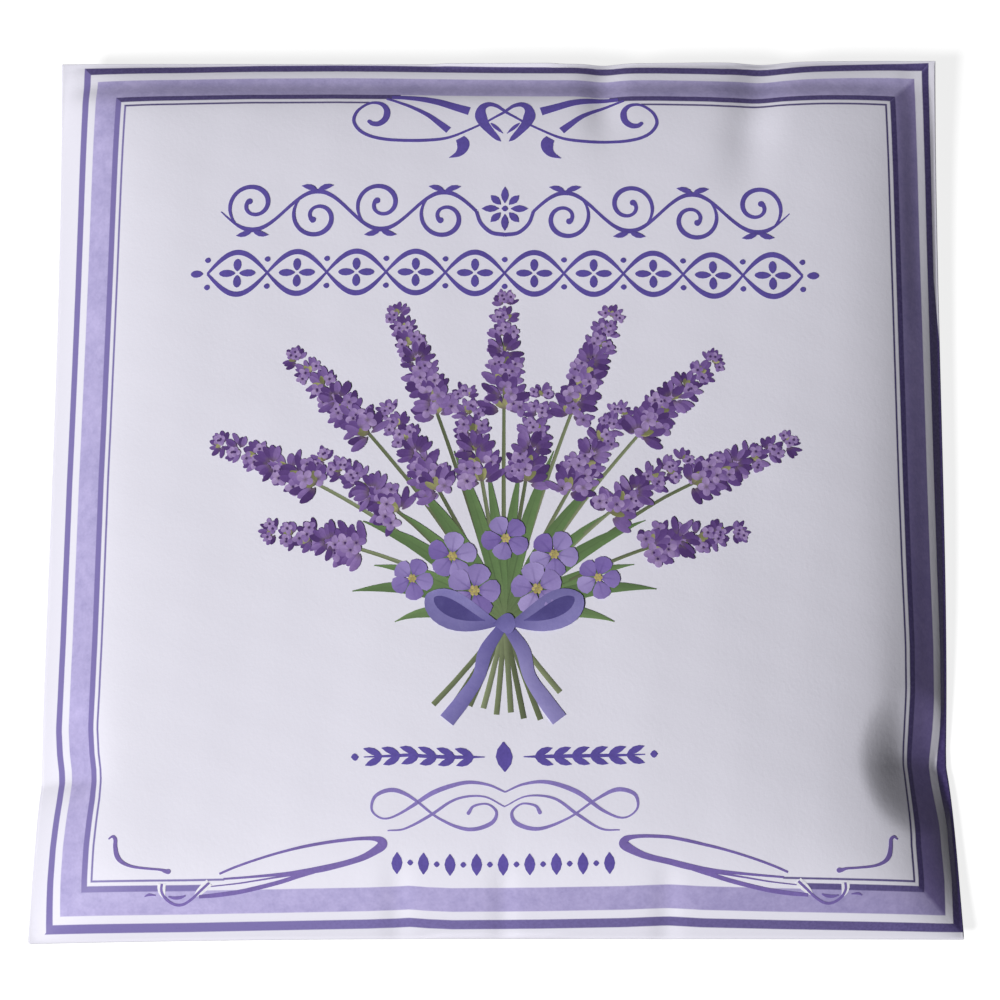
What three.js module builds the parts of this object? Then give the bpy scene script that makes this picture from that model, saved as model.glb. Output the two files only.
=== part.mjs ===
// A scented paper sachet: a flat, square envelope, folded from one printed sheet and filled with grains.
// It lies on its back with the printed face up. Units are millimetres, +Z is up and +Y points to the mouth.
// The origin is on the surface that it lies on, under the middle of the envelope.
import * as THREE from "three";

// The folded envelope, measured flat
const envelope_width = 110;
const envelope_height = 110;
const paper_gauge = 0.2;
const adhesive_gauge = 0.1;
const ply_clearance = 0.05;

// The lapped seam down the middle of the back
const seam_lap = 12;
const seam_ramp = 3;
const seam_adhesive_width = 7;
const seam_end_margin = 4;

// The flap turned up over the back at the bottom fold
const flap_depth = 19.4;
const flap_ramp = 5;
const flap_overhang = 0.6;
const flap_overhang_reach = 8;
const flap_adhesive_depth = 9;
const flap_adhesive_inset = 2.5;
const flap_adhesive_side_inset = 5;

// The glued mouth at the top
const mouth_adhesive_depth = 5;
const mouth_adhesive_inset = 0.8;
const mouth_adhesive_side_inset = 4;

// How the filled envelope stands: heights of the folds above the surface, and of the crown's inner face
const left_fold_height = 3;
const right_fold_height = 2;
const mouth_height = 6;
const bottom_fold_height = 5.4;
const corner_droop = 1.6;
const crown_height = 9.5;
const rim_blend_power = 3;
const side_blend_reach = 25;

// How far in from each edge the printed face goes on swelling, and the back stays off the surface
const left_swell_reach = 5;
const right_swell_reach = 8.8;
const mouth_swell_reach = 7.6;
const bottom_swell_reach = 3.9;
const side_back_reach = 17;
const mouth_back_reach = 24;
const bottom_back_reach = 30;

// The heap that the grains make, lower down than the middle: where it is, and how far it spreads
const heap_across_share = 0.045;
const heap_along_share = -0.27;
const heap_rise = 2.8;
const heap_ridge_length = 16;
const heap_spread_across = 25;
const heap_spread_along = 36;

// The kink that the flap's upper edge leaves in both side folds, and the dent beside it
const kink_draw = 1.24;
const kink_reach_above = 20;
const kink_reach_below = 6;
const kink_reach_inwards = 1.6;
const kink_dip = 0.7;
const kink_dip_reach = 5;
const dent_inset = 7;
const dent_rise = 3;
const dent_width = 4.5;
const dent_length = 5;
const dent_share = 0.12;

// The soft furrows that run down from the glued mouth, and up from the bottom fold
const furrow_width = 2.4;
const furrow_length = 16;
const furrow_share = 0.12;
const mouth_furrow_shares = [0.12, 0.29];
const bottom_furrow_shares = [-0.11, 0.01, 0.18];

// The filling: a packed bed of fine grains with coarser flakes lying on it
const filling_clearance = 0.3;
const bed_inset = 6;
const bed_edge_thickness = 1;
const flake_count = 24;
const flake_radius = 2.1;
const flake_height = 2.8;
const flake_waist_share = 0.84;
const flake_plates = 3;
const flake_sides = 6;
const flake_rim_shares = [0.3, 0.7];
const flake_margin = 13;
const flake_radius_shares = [1, 0.82, 0.92, 1.08];
const flake_height_shares = [1, 0.9, 0.96];

// Where the sheets are faceted, as shares of an edge's length from either end
const line_shares = [0, 0.015, 0.04, 0.075, 0.12, 0.18, 0.26, 0.35, 0.43, 0.5];
const least_line_gap = 0.9;

const half_width = envelope_width / 2;
const half_height = envelope_height / 2;
const flap_line = flap_depth - half_height;
const seam_left = -seam_lap / 2;
const seam_right = seam_lap / 2;
const seam_stack = paper_gauge + adhesive_gauge + 2 * ply_clearance;
const flap_stack = paper_gauge + adhesive_gauge + 2 * ply_clearance;

const smooth_step = (from, to, x) => THREE.MathUtils.smoothstep(x, from, to);
const bell = (x, width) => Math.exp(-((x / width) ** 2));
const side_distance = (u) => half_width - Math.abs(u);
const swell = (distance, reach) => 1 - Math.exp(-distance / reach);
const curl = (distance, reach) => Math.max(0, 1 - distance / reach) ** 2;

// How near a flat position is to the kink line, from 1 on it to 0 far away.
function kink_nearness(v, above, below) {
  const reach = v > flap_line ? above : below;
  return Math.exp(-Math.abs(v - flap_line) / reach);
}

// Where a point of the flat envelope lies in plan once the filling has drawn the side folds in.
function drawn_in(u, v) {
  const near = kink_nearness(v, kink_reach_above, kink_reach_below);
  const draw = kink_draw * near * Math.exp(-side_distance(u) / kink_reach_inwards);
  return [u - Math.sign(u) * draw, v];
}

// A value that goes over smoothly from the envelope's left side to its right side.
function from_left_to_right(left, right, u) {
  return left + (right - left) * smooth_step(-side_blend_reach, side_blend_reach, u);
}

// Height of the folded rim, carried smoothly across the inside of the envelope.
function rim_height(u, v) {
  const across = Math.abs(u / half_width) ** rim_blend_power;
  const along = Math.abs(v / half_height) ** rim_blend_power;
  const end = v > 0 ? mouth_height : bottom_fold_height;
  const dip = kink_dip * across * kink_nearness(v, kink_dip_reach, kink_dip_reach);
  const side = from_left_to_right(left_fold_height, right_fold_height, u);
  return side + (end - side) * along - corner_droop * across * along - dip;
}

// Outer face of the back: flat on the surface inside, stepped up over the flap, curling up to the rim.
function back_outer(u, v) {
  const side = curl(side_distance(u), side_back_reach);
  const end = v > 0
    ? curl(half_height - v, mouth_back_reach)
    : curl(half_height + v, bottom_back_reach);
  const edge = 1 - (1 - side) * (1 - end);
  const step = flap_stack * (1 - smooth_step(flap_line, flap_line + flap_ramp, v));
  return step + (rim_height(u, v) - step) * edge;
}

// How much the lapped seam lifts what lies on it.
function seam_lift(u) {
  const rising = smooth_step(seam_left - seam_ramp, seam_left, u);
  const falling = 1 - smooth_step(seam_right, seam_right + seam_ramp, u);
  return seam_stack * rising * falling;
}

const back_inner = (u, v) => back_outer(u, v) + paper_gauge + seam_lift(u);

// Share of the full swell that the printed face reaches, less its dents and furrows.
function face_swell(u, v) {
  const end = v > 0
    ? swell(half_height - v, mouth_swell_reach)
    : swell(half_height + v, bottom_swell_reach);
  const dent = dent_share
    * bell(side_distance(u) - dent_inset, dent_width)
    * bell(v - flap_line - dent_rise, dent_length);
  const furrows = v > 0 ? mouth_furrow_shares : bottom_furrow_shares;
  const fade = Math.exp(-(half_height - Math.abs(v)) / furrow_length);
  const furrow = furrows.reduce(
    (sum, share) => sum + furrow_share * fade * bell(u - share * envelope_width, furrow_width), 0);
  const side_reach = from_left_to_right(left_swell_reach, right_swell_reach, u);
  return swell(side_distance(u), side_reach) * end * (1 - dent - furrow);
}

// Height that the heap of grains adds to the printed face.
function heap(u, v) {
  const across = Math.max(0, Math.abs(u - heap_across_share * envelope_width) - heap_ridge_length / 2);
  const along = v - heap_along_share * envelope_height;
  return heap_rise * bell(across, heap_spread_across) * bell(along, heap_spread_along);
}

// Inner face of the printed front: it seats on the back at the rim and over the mouth's adhesive, and swells
// inside.
function face_inner(u, v) {
  const mouth = smooth_step(
    half_height - 2 * mouth_adhesive_depth - mouth_adhesive_inset,
    half_height - mouth_adhesive_depth - mouth_adhesive_inset, v);
  const seat = back_inner(u, v) + ply_clearance + mouth * (adhesive_gauge + ply_clearance);
  const rise = crown_height + heap(u, v) - rim_height(u, v);
  const crown = rim_height(u, v) + paper_gauge + ply_clearance + rise * face_swell(u, v);
  return Math.max(seat, crown);
}

// Facet lines from low to high. The lines that end a ply stay, and others keep their distance from them.
function facet_lines(half_length, ends) {
  const length = 2 * half_length;
  const even = line_shares.flatMap((share) => [
    share * length - half_length,
    half_length - share * length,
  ]);
  const kept = [...new Set([-half_length, half_length, ...ends])];
  const clear = (line) => kept.every((other) => Math.abs(other - line) > least_line_gap);
  even.forEach((line) => {
    if (clear(line)) kept.push(line);
  });
  return kept.sort((a, b) => a - b);
}

const mouth_line = half_height - mouth_adhesive_inset;
const mouth_inner_line = mouth_line - mouth_adhesive_depth;
const flap_glue_line = flap_line - flap_adhesive_inset;
const flap_glue_end = flap_glue_line - flap_adhesive_depth;
const seam_glue_half = seam_adhesive_width / 2;
const mouth_glue_side = half_width - mouth_adhesive_side_inset;
const flap_glue_side = half_width - flap_adhesive_side_inset;
const seam_glue_end = half_height - seam_end_margin;
const bed_side = half_width - bed_inset;
const bed_bottom_line = bed_inset - half_height;
const bed_mouth_line = mouth_inner_line - bed_inset;

const across_lines = facet_lines(half_width, [
  seam_left, seam_right, -seam_glue_half, seam_glue_half,
  -bed_side, bed_side, -flap_glue_side, flap_glue_side, -mouth_glue_side, mouth_glue_side,
]);
const along_lines = facet_lines(half_height, [
  flap_line, flap_glue_line, flap_glue_end, bed_bottom_line, bed_mouth_line,
  mouth_inner_line, mouth_line, -seam_glue_end, seam_glue_end,
]);
const between = (lines, from, to) => lines.filter((line) => line >= from && line <= to);

// A closed ply over the facet lines, from its lower face to its upper face.
function ply(us, vs, lower, upper, plan = drawn_in) {
  const positions = [];
  for (const face of [lower, upper]) {
    for (const v of vs) {
      for (const u of us) positions.push(...plan(u, v), face(u, v));
    }
  }
  const columns = us.length;
  const rows = vs.length;
  const layer = columns * rows;
  const index = [];
  const quad = (a, b, c, d) => index.push(a, b, c, a, c, d);
  for (let row = 0; row < rows - 1; row++) {
    for (let column = 0; column < columns - 1; column++) {
      const a = row * columns + column;
      const d = a + columns;
      quad(a, d, d + 1, a + 1);
      quad(layer + a, layer + a + 1, layer + d + 1, layer + d);
    }
  }
  for (let column = 0; column < columns - 1; column++) {
    const last = (rows - 1) * columns + column;
    quad(column, column + 1, layer + column + 1, layer + column);
    quad(last + 1, last, layer + last, layer + last + 1);
  }
  for (let row = 0; row < rows - 1; row++) {
    const first = row * columns;
    const last = first + columns - 1;
    quad(first + columns, first, layer + first, layer + first + columns);
    quad(last, last + columns, layer + last + columns, layer + last);
  }
  const geometry = new THREE.BufferGeometry();
  geometry.setAttribute("position", new THREE.Float32BufferAttribute(positions, 3));
  geometry.setIndex(index);
  geometry.computeVertexNormals();
  return geometry;
}

const thicker = (face, gauge) => (u, v) => face(u, v) + gauge;

// The flap's sides stand out past the drawn-in folds, along the line of the last facet.
function flap_plan(u, v) {
  const [x, y] = drawn_in(u, v);
  if (side_distance(u) > 0) return [x, y];
  const overhang = flap_overhang * Math.exp(-(flap_line - v) / flap_overhang_reach)
    * (1 - curl(half_height + v, flap_overhang_reach));
  return [x + Math.sign(u) * overhang, y];
}

// The flap's faces follow the back's, carried on straight where the flap stands out past it.
function flap_face(drop) {
  const inner_line = across_lines[1];
  return (u, v) => {
    const height = back_outer(u, v) - drop;
    if (side_distance(u) > 0) return height;
    const inner = Math.abs(inner_line);
    const run = Math.abs(drawn_in(u, v)[0]) - Math.abs(drawn_in(inner, v)[0]);
    const out = Math.abs(flap_plan(u, v)[0]) - Math.abs(drawn_in(u, v)[0]);
    const slope = (back_outer(u, v) - back_outer(inner, v)) / run;
    return height + slope * out;
  };
}

const printed_paper = new THREE.MeshStandardMaterial({ color: 0xd9d7e4, roughness: 0.55, metalness: 0 });
const plain_paper = new THREE.MeshStandardMaterial({ color: 0xe6e5ea, roughness: 0.7, metalness: 0 });
const dried_adhesive = new THREE.MeshStandardMaterial({ color: 0xe9e2cc, roughness: 0.35, metalness: 0 });
const fine_grains = new THREE.MeshStandardMaterial({ color: 0xa9926a, roughness: 0.95, metalness: 0 });
const coarse_flake = new THREE.MeshStandardMaterial({ color: 0xb89a62, roughness: 0.6, metalness: 0 });

const sachet = new THREE.Group();

function add(name, geometry, material) {
  const mesh = new THREE.Mesh(geometry, material);
  mesh.name = name;
  sachet.add(mesh);
  return mesh;
}

// The printed front, from fold to fold.
function front_panel() {
  return ply(across_lines, along_lines, face_inner, thicker(face_inner, paper_gauge));
}

// The left half of the back runs under the lap, the right half over it.
function back_panel_left() {
  const us = between(across_lines, -half_width, seam_right);
  const lifted = (u, v) => back_outer(u, v) + seam_lift(u);
  return ply(us, along_lines, lifted, thicker(lifted, paper_gauge));
}

function back_panel_right() {
  const us = between(across_lines, seam_left, half_width);
  return ply(us, along_lines, back_outer, thicker(back_outer, paper_gauge));
}

function centre_seam_adhesive() {
  const us = between(across_lines, -seam_glue_half, seam_glue_half);
  const vs = between(along_lines, -seam_glue_end, seam_glue_end);
  const lower = thicker(back_outer, paper_gauge + ply_clearance);
  return ply(us, vs, lower, thicker(lower, adhesive_gauge));
}

function bottom_flap() {
  const vs = between(along_lines, -half_height, flap_line);
  return ply(across_lines, vs, flap_face(flap_stack), flap_face(flap_stack - paper_gauge), flap_plan);
}

function bottom_flap_adhesive() {
  const us = between(across_lines, -flap_glue_side, flap_glue_side);
  const vs = between(along_lines, flap_glue_end, flap_glue_line);
  const upper = thicker(back_outer, -ply_clearance);
  return ply(us, vs, thicker(upper, -adhesive_gauge), upper);
}

function mouth_adhesive() {
  const us = between(across_lines, -mouth_glue_side, mouth_glue_side);
  const vs = between(along_lines, mouth_inner_line, mouth_line);
  const lower = thicker(back_inner, ply_clearance);
  return ply(us, vs, lower, thicker(lower, adhesive_gauge));
}

const flake_layer = flake_height + 2 * filling_clearance;
const bed_lower = thicker(back_inner, filling_clearance);

// The packed bed leaves one layer's height free for the flakes, and thins towards the folds.
function bed_upper(u, v) {
  const lower = bed_lower(u, v);
  return Math.max(lower + bed_edge_thickness * face_swell(u, v), face_inner(u, v) - flake_layer);
}

function grain_bed() {
  const us = between(across_lines, -bed_side, bed_side);
  const vs = between(along_lines, bed_bottom_line, bed_mouth_line);
  return ply(us, vs, bed_lower, bed_upper);
}

// An expanded flake is a stack of thin plates with a waist between each two.
function flake(radius, height) {
  const profile = [new THREE.Vector2(0, 0)];
  const pitch = height / flake_plates;
  for (let plate = 0; plate < flake_plates; plate++) {
    if (plate) profile.push(new THREE.Vector2(radius * flake_waist_share, plate * pitch));
    for (const share of flake_rim_shares) profile.push(new THREE.Vector2(radius, (plate + share) * pitch));
  }
  profile.push(new THREE.Vector2(0, height));
  const geometry = new THREE.LatheGeometry(profile, flake_sides);
  geometry.rotateX(Math.PI / 2);
  return geometry;
}

// Flakes lie in a sunflower pattern, each on the highest point of the bed under it.
function add_flakes() {
  const golden_angle = Math.PI * (3 - Math.sqrt(5));
  const spread_across = bed_side - flake_margin;
  const spread_along = (bed_mouth_line - bed_bottom_line) / 2 - flake_margin;
  const bed_middle = (bed_mouth_line + bed_bottom_line) / 2;
  for (let k = 0; k < flake_count; k++) {
    const distance_share = Math.sqrt((k + 0.5) / flake_count);
    const u = spread_across * distance_share * Math.cos(k * golden_angle);
    const v = bed_middle + spread_along * distance_share * Math.sin(k * golden_angle);
    const radius = flake_radius * flake_radius_shares[k % flake_radius_shares.length];
    const height = flake_height * flake_height_shares[k % flake_height_shares.length];
    const steps = [-radius, 0, radius];
    const seats = steps.flatMap((across) => steps.map((along) => bed_upper(u + across, v + along)));
    const number = String(k + 1).padStart(2, "0");
    const mesh = add(`vermiculite_flake_${number}`, flake(radius, height), coarse_flake);
    mesh.position.set(...drawn_in(u, v), Math.max(...seats) + filling_clearance / 2);
    mesh.rotation.z = k;
  }
}

add("front_panel", front_panel(), printed_paper);
add("back_panel_left", back_panel_left(), plain_paper);
add("back_panel_right", back_panel_right(), plain_paper);
add("bottom_flap", bottom_flap(), plain_paper);
add("centre_seam_adhesive", centre_seam_adhesive(), dried_adhesive);
add("bottom_flap_adhesive", bottom_flap_adhesive(), dried_adhesive);
add("mouth_adhesive", mouth_adhesive(), dried_adhesive);
add("grain_bed", grain_bed(), fine_grains);
add_flakes();

export default sachet;
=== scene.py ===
"""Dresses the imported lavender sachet: a filled paper envelope, printed with a violet border, scrolls and a posy.

The envelope's sheets are surfaces worked out from flat positions (u, v) in millimetres, with u to the right and v
towards the glued mouth, from the sheet's middle. The print is drawn in its own millimetres (p, q), likewise from
the print's middle, and sits a little off the flat sheet's lines.
"""

import logging
import math
from collections.abc import Callable, Sequence
from dataclasses import dataclass, fields, replace
from enum import Enum
from typing import Any

import bpy
import numpy as np
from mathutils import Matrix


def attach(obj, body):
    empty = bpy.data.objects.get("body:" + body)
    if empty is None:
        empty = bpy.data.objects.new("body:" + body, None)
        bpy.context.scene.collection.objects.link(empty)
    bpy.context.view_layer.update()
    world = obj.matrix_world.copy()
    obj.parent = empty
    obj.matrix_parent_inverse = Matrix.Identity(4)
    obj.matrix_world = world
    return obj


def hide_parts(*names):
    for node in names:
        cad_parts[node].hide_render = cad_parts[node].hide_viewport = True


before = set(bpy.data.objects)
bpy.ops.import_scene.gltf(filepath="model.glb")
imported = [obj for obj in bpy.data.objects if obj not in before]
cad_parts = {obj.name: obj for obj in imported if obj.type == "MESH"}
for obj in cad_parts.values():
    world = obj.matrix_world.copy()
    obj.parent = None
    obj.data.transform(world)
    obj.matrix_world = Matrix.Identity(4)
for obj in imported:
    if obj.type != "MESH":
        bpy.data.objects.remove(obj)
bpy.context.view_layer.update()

MM = 0.001
PRINT_SPAN = 112.0  # millimetres to the unit of the UV map "print"
BAKE_SPAN = 111.0  # the same of a sheet's share of the bake map
Colour = tuple[float, float, float]
Array = np.ndarray
Material = bpy.types.Material
Number = float | Array
Rectangle = tuple[float, float, float, float]
Surface = Callable[[Array, Array], Array]
log = logging.getLogger("sachet")


def bell(x: Number, width: float) -> Number:
    """A bump of height 1: e to the minus square of x over width."""
    return np.exp(-((x / width) ** 2))


def smooth_step(low: float, high: float, x: Number) -> Number:
    """An S-shaped rise from 0 at low to 1 at high: 3t squared less 2t cubed."""
    t = np.clip((x - low) / (high - low), 0.0, 1.0)
    return t * t * (3.0 - 2.0 * t)


# Shader helpers


def operator(operation: str, swapped: bool = False) -> Callable[["Wire", "Wire | float"], "Wire"]:
    """Makes an operator of Wire.

    Args:
        operation: The Math node's operation.
        swapped: Whether the other operand comes first.

    Returns:
        A method that puts a wire and another operand through one Math node.
    """
    def method(wire: "Wire", other: "Wire | float") -> "Wire":
        """One Math node on two operands."""
        return wire.maths(operation, *((other, wire) if swapped else (wire, other)))

    return method


class Wire:
    """A number in a shader, on which Python's operators add Math nodes."""

    def __init__(self, bench: "Bench", socket: bpy.types.NodeSocket) -> None:
        """Wraps the output of a node on a bench."""
        self.bench, self.socket = bench, socket

    def maths(self, operation: str, *operands: "Wire | float") -> "Wire":
        """One Math node on its operands, in their order."""
        return self.bench.node("ShaderNodeMath", {"operation": operation}, dict(enumerate(operands)))

    __add__ = __radd__ = operator("ADD")
    __sub__ = operator("SUBTRACT")
    __rsub__ = operator("SUBTRACT", swapped=True)
    __mul__ = __rmul__ = operator("MULTIPLY")
    __truediv__ = operator("DIVIDE")
    larger = operator("MAXIMUM")
    smaller = operator("MINIMUM")

    def __abs__(self) -> "Wire":
        """Size without sign."""
        return self.maths("ABSOLUTE", self)

    def clamped(self) -> "Wire":
        """Kept between 0 and 1."""
        return self.larger(0.0).smaller(1.0)

    def above(self, level: float, softness: float) -> "Wire":
        """A soft switch from 0 below the level to 1 above it, over the length softness."""
        return ((self - level) / softness + 0.5).clamped()

    def between(self, low: float, high: float, softness: float) -> "Wire":
        """A soft band: 1 between low and high and 0 outside."""
        return self.above(low, softness) * (1.0 - self.above(high, softness))


class Bench:
    """Builds the nodes of one material, or of the world."""

    def __init__(self, name: str, tree: bpy.types.NodeTree | None = None) -> None:
        """Starts an empty node tree.

        Args:
            name: The new material's name.
            tree: The world's node tree, where no material is made.
        """
        if tree is None:
            self.material = bpy.data.materials.new(name)
            self.material.use_nodes = True
            tree = self.material.node_tree
        self.nodes, self.links = tree.nodes, tree.links
        self.nodes.clear()

    def node(self, kind: str, settings: dict[str, Any], sockets: dict[int | str, Any], output: int | str = 0) -> Wire:
        """Adds any node.

        Args:
            kind: The node's type.
            settings: Its properties, set first. "stops" are a ramp's (place, colour) pairs.
            sockets: Values or wires for its inputs, by name or number.
            output: The output that is handed back.

        Returns:
            That output as a wire.
        """
        node = self.nodes.new(kind)
        for name, value in settings.items():
            if name == "stops":
                self._set_stops(node.color_ramp, value)
            else:
                setattr(node, name, value)
        for place, value in sockets.items():
            if isinstance(value, Wire):
                self.links.new(value.socket, node.inputs[place])
            elif isinstance(value, tuple) and len(value) == 3 and node.inputs[place].type == "RGBA":
                node.inputs[place].default_value = (*value, 1.0)
            else:
                node.inputs[place].default_value = value
        return Wire(self, node.outputs[output] if len(node.outputs) else None)

    @staticmethod
    def _set_stops(ramp: bpy.types.ColorRamp, stops: Sequence[tuple[float, Colour]]) -> None:
        """Puts a ramp's stops in place.

        Args:
            ramp: The ramp.
            stops: Pairs of place and colour, from low to high.
        """
        while len(ramp.elements) < len(stops):
            ramp.elements.new(1.0)
        for element, (place, colour) in zip(ramp.elements, stops):
            element.position, element.color = place, (*colour, 1.0)

    def mix(self, share: Wire | float, first: Wire | Colour, second: Wire | Colour, blend: str = "MIX") -> Wire:
        """Mixes two colours: the first at share 0, the second at 1."""
        settings = {"data_type": "RGBA", "blend_type": blend, "clamp_result": False}
        return self.node("ShaderNodeMix", settings, {0: share, 6: first, 7: second}, output=2)

    def place(self) -> Wire:
        """Object coordinates, in metres."""
        return self.node("ShaderNodeTexCoord", {}, {}, output="Object")

    def uv(self, name: str) -> tuple[Wire, Wire]:
        """The two coordinates of a UV map."""
        uv = self.node("ShaderNodeUVMap", {"uv_map": name}, {})
        return tuple(self.node("ShaderNodeSeparateXYZ", {}, {0: uv}, output=place) for place in range(2))

    def noise(self, size_mm: float, detail: float = 2.0, roughness: float = 0.5) -> Wire:
        """Noise about 0.5, on object coordinates.

        Args:
            size_mm: The size of its patches in millimetres.
            detail: Octaves of finer patches.
            roughness: How strong the finer patches are.

        Returns:
            The noise's value.
        """
        sockets = {"Vector": self.place(), "Scale": 1.0 / (size_mm * MM), "Detail": detail, "Roughness": roughness}
        return self.node("ShaderNodeTexNoise", {}, sockets)

    def felt(self, size_mm: float = 0.55) -> Wire:
        """Paper's felt as a noise of tufts."""
        return self.noise(size_mm, 3.0, roughness=0.6)

    def bump(self, height: Wire, distance_mm: float) -> Wire:
        """A normal bent by a height, of which 1 stands for distance_mm."""
        return self.node("ShaderNodeBump", {}, {"Height": height, "Distance": distance_mm * MM})

    def finish(self, **sockets: Any) -> Material:
        """Closes the material with one Principled shader.

        Args:
            sockets: The shader's inputs, with underscores for spaces.

        Returns:
            The material.
        """
        named = {name.replace("_", " "): value for name, value in sockets.items()}
        shader = self.node("ShaderNodeBsdfPrincipled", {}, named)
        self.node("ShaderNodeOutputMaterial", {}, {"Surface": shader})
        return self.material


# Mesh helpers


class Meshes:
    """Puts arrays of points and faces into Blender."""

    @staticmethod
    def piece(name: str, points: Array, faces: Sequence[Array], material: Material, slot: str,
              maps: dict[str, Sequence[Array]] | None = None, tones: Array | None = None,
              crease: float = math.radians(40)) -> bpy.types.Object:
        """Makes one piece of the part, riding on its only body.

        Args:
            name: The piece's name.
            points: Corner points in millimetres, one a row.
            faces: Arrays of corner numbers, one face a row; each array holds faces of one corner count.
            material: The piece's material.
            slot: The record's material slot; not used.
            maps: For each UV map, one array per array of faces, with a pair for every corner.
            tones: A number per point, kept as the attribute "tone".
            crease: Faces that meet at more than this angle are shaded with an edge.

        Returns:
            The new object.
        """
        mesh = bpy.data.meshes.new(name)
        sides = np.concatenate([np.full(len(block), block.shape[1]) for block in faces])
        corners = np.concatenate([block.ravel() for block in faces])
        mesh.vertices.add(len(points))
        mesh.vertices.foreach_set("co", (points * MM).astype(np.float32).ravel())
        mesh.loops.add(len(corners))
        mesh.loops.foreach_set("vertex_index", corners.astype(np.int32))
        mesh.polygons.add(len(sides))
        starts = np.concatenate([[0], np.cumsum(sides)[:-1]])
        mesh.polygons.foreach_set("loop_start", starts.astype(np.int32))
        mesh.update(calc_edges=True)
        mesh.polygons.foreach_set("use_smooth", np.ones(len(sides), dtype=bool))
        for title, blocks in (maps or {}).items():
            layer = mesh.uv_layers.new(name=title)
            pairs = np.concatenate([block.reshape(-1, 2) for block in blocks])
            layer.uv.foreach_set("vector", pairs.astype(np.float32).ravel())
        if tones is not None:
            attribute = mesh.attributes.new("tone", "FLOAT", "POINT")
            attribute.data.foreach_set("value", tones.astype(np.float32))
        mesh.set_sharp_from_angle(angle=crease)
        mesh.materials.append(material)
        obj = bpy.data.objects.new(name, mesh)
        bpy.context.scene.collection.objects.link(obj)
        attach(obj, "root")
        log.info("%s: %d faces", name, len(sides))
        return obj

    @staticmethod
    def grid(rows: int, columns: int) -> Array:
        """Faces of a grid of points.

        Args:
            rows: Rows of points.
            columns: Points in a row.

        Returns:
            Four corner numbers a row, anticlockwise where columns go right and rows go up.
        """
        first = (np.arange(rows - 1)[:, None] * columns + np.arange(columns - 1)).ravel()
        return np.stack([first, first + 1, first + columns + 1, first + columns], axis=1)


@dataclass(frozen=True)
class Lines:
    """Grid lines across a sheet in one direction, with the lines of the rounded edges past either end."""

    inside: Array
    low_nose: float
    high_nose: float

    NOSE_SHARES = np.sin(np.linspace(0.0, math.pi / 2, 5))

    def flat(self) -> Array:
        """Each line's flat position, kept on the sheet."""
        return np.pad(self.inside, len(self.NOSE_SHARES), mode="edge")

    def nose(self) -> Array:
        """How far out on the rounded edge each line is, from -1 to 1."""
        return np.concatenate([-self.NOSE_SHARES[::-1], np.zeros(len(self.inside)), self.NOSE_SHARES])

    def reach(self) -> Array:
        """The rounded edge's width for each line."""
        return np.where(self.nose() < 0, self.low_nose, self.high_nose)

    def outer(self) -> Array:
        """Which lines are on a rounded edge."""
        return np.pad(np.zeros(len(self.inside), dtype=bool), len(self.NOSE_SHARES), constant_values=True)

    @staticmethod
    def spread(low: float, high: float, fine: float, coarse: float, rim: float, noses: tuple[float, float],
               near: Sequence[tuple[float, float]] = ()) -> "Lines":
        """Lines that are close together by the rims and near some places, and wider apart elsewhere.

        The number of lines per millimetre is a smooth function of place; the lines are where its running sum passes
        whole numbers.

        Args:
            low: The first line.
            high: The last line.
            fine: The distance between lines at the rims.
            coarse: The distance elsewhere.
            rim: How far in the rims reach.
            noses: The widths of the rounded edges past the first and the last line.
            near: Pairs of a place and how far the fine lines reach on either side.

        Returns:
            The lines, from low to high.
        """
        x = np.linspace(low, high, 4001)
        share = np.maximum(bell(x - low, rim), bell(x - high, rim))
        for place, reach in near:
            share = np.maximum(share, bell(x - place, reach))
        density = 1.0 / (coarse + (fine - coarse) * share)
        total = np.concatenate([[0.0], np.cumsum((density[1:] + density[:-1]) / 2 * np.diff(x))])
        count = int(round(total[-1]))
        return Lines(np.interp(np.linspace(0.0, total[-1], count + 1), total, x), *noses)


# The envelope's shape


class Across(Enum):
    """A fold's profile across its run: a soft bell, a crease with straight flanks, or a hollow with a clear rim."""

    SOFT = "soft"
    CREASED = "creased"
    HOLLOW = "hollow"


@dataclass(frozen=True)
class Fold:
    """A crease, dimple or swelling of the printed face, along a straight run from one flat position to another."""

    start: tuple[float, float]
    end: tuple[float, float]
    rise: float
    width: float
    fade: float
    across: Across = Across.SOFT
    lean: float = 1.0

    TIP = 0.25
    HOLLOW_POWER = 1.7

    def height(self, u: Array, v: Array) -> Array:
        """How much the fold lifts each flat position.

        Across the run a bell, or a rounded peak with flanks that fade as e to the minus distance, times a bell past
        either end. A hollow is a power of 1 less the squared distance from the run, in widths across and in fades
        past the ends, and nothing beyond a distance of 1. Lean narrows or widens the side right of the run.

        Args:
            u, v: Flat positions.

        Returns:
            The lift in millimetres.
        """
        run = np.subtract(self.end, self.start)
        length = max(float(np.hypot(*run)), 1e-6)
        along_u, along_v = run / length
        along = (u - self.start[0]) * along_u + (v - self.start[1]) * along_v
        across = (v - self.start[1]) * along_u - (u - self.start[0]) * along_v
        past = np.maximum(np.maximum(-along, along - length), 0.0)
        width = np.where(across > 0, self.width, self.width * self.lean)
        share = across / width
        if self.across is Across.HOLLOW:
            return self.rise * np.maximum(0.0, 1.0 - share**2 - (past / self.fade) ** 2) ** self.HOLLOW_POWER
        creased = self.across is Across.CREASED
        profile = np.exp(self.TIP - np.sqrt(share**2 + self.TIP**2)) if creased else bell(share, 1.0)
        return self.rise * profile * bell(past, self.fade)


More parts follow.
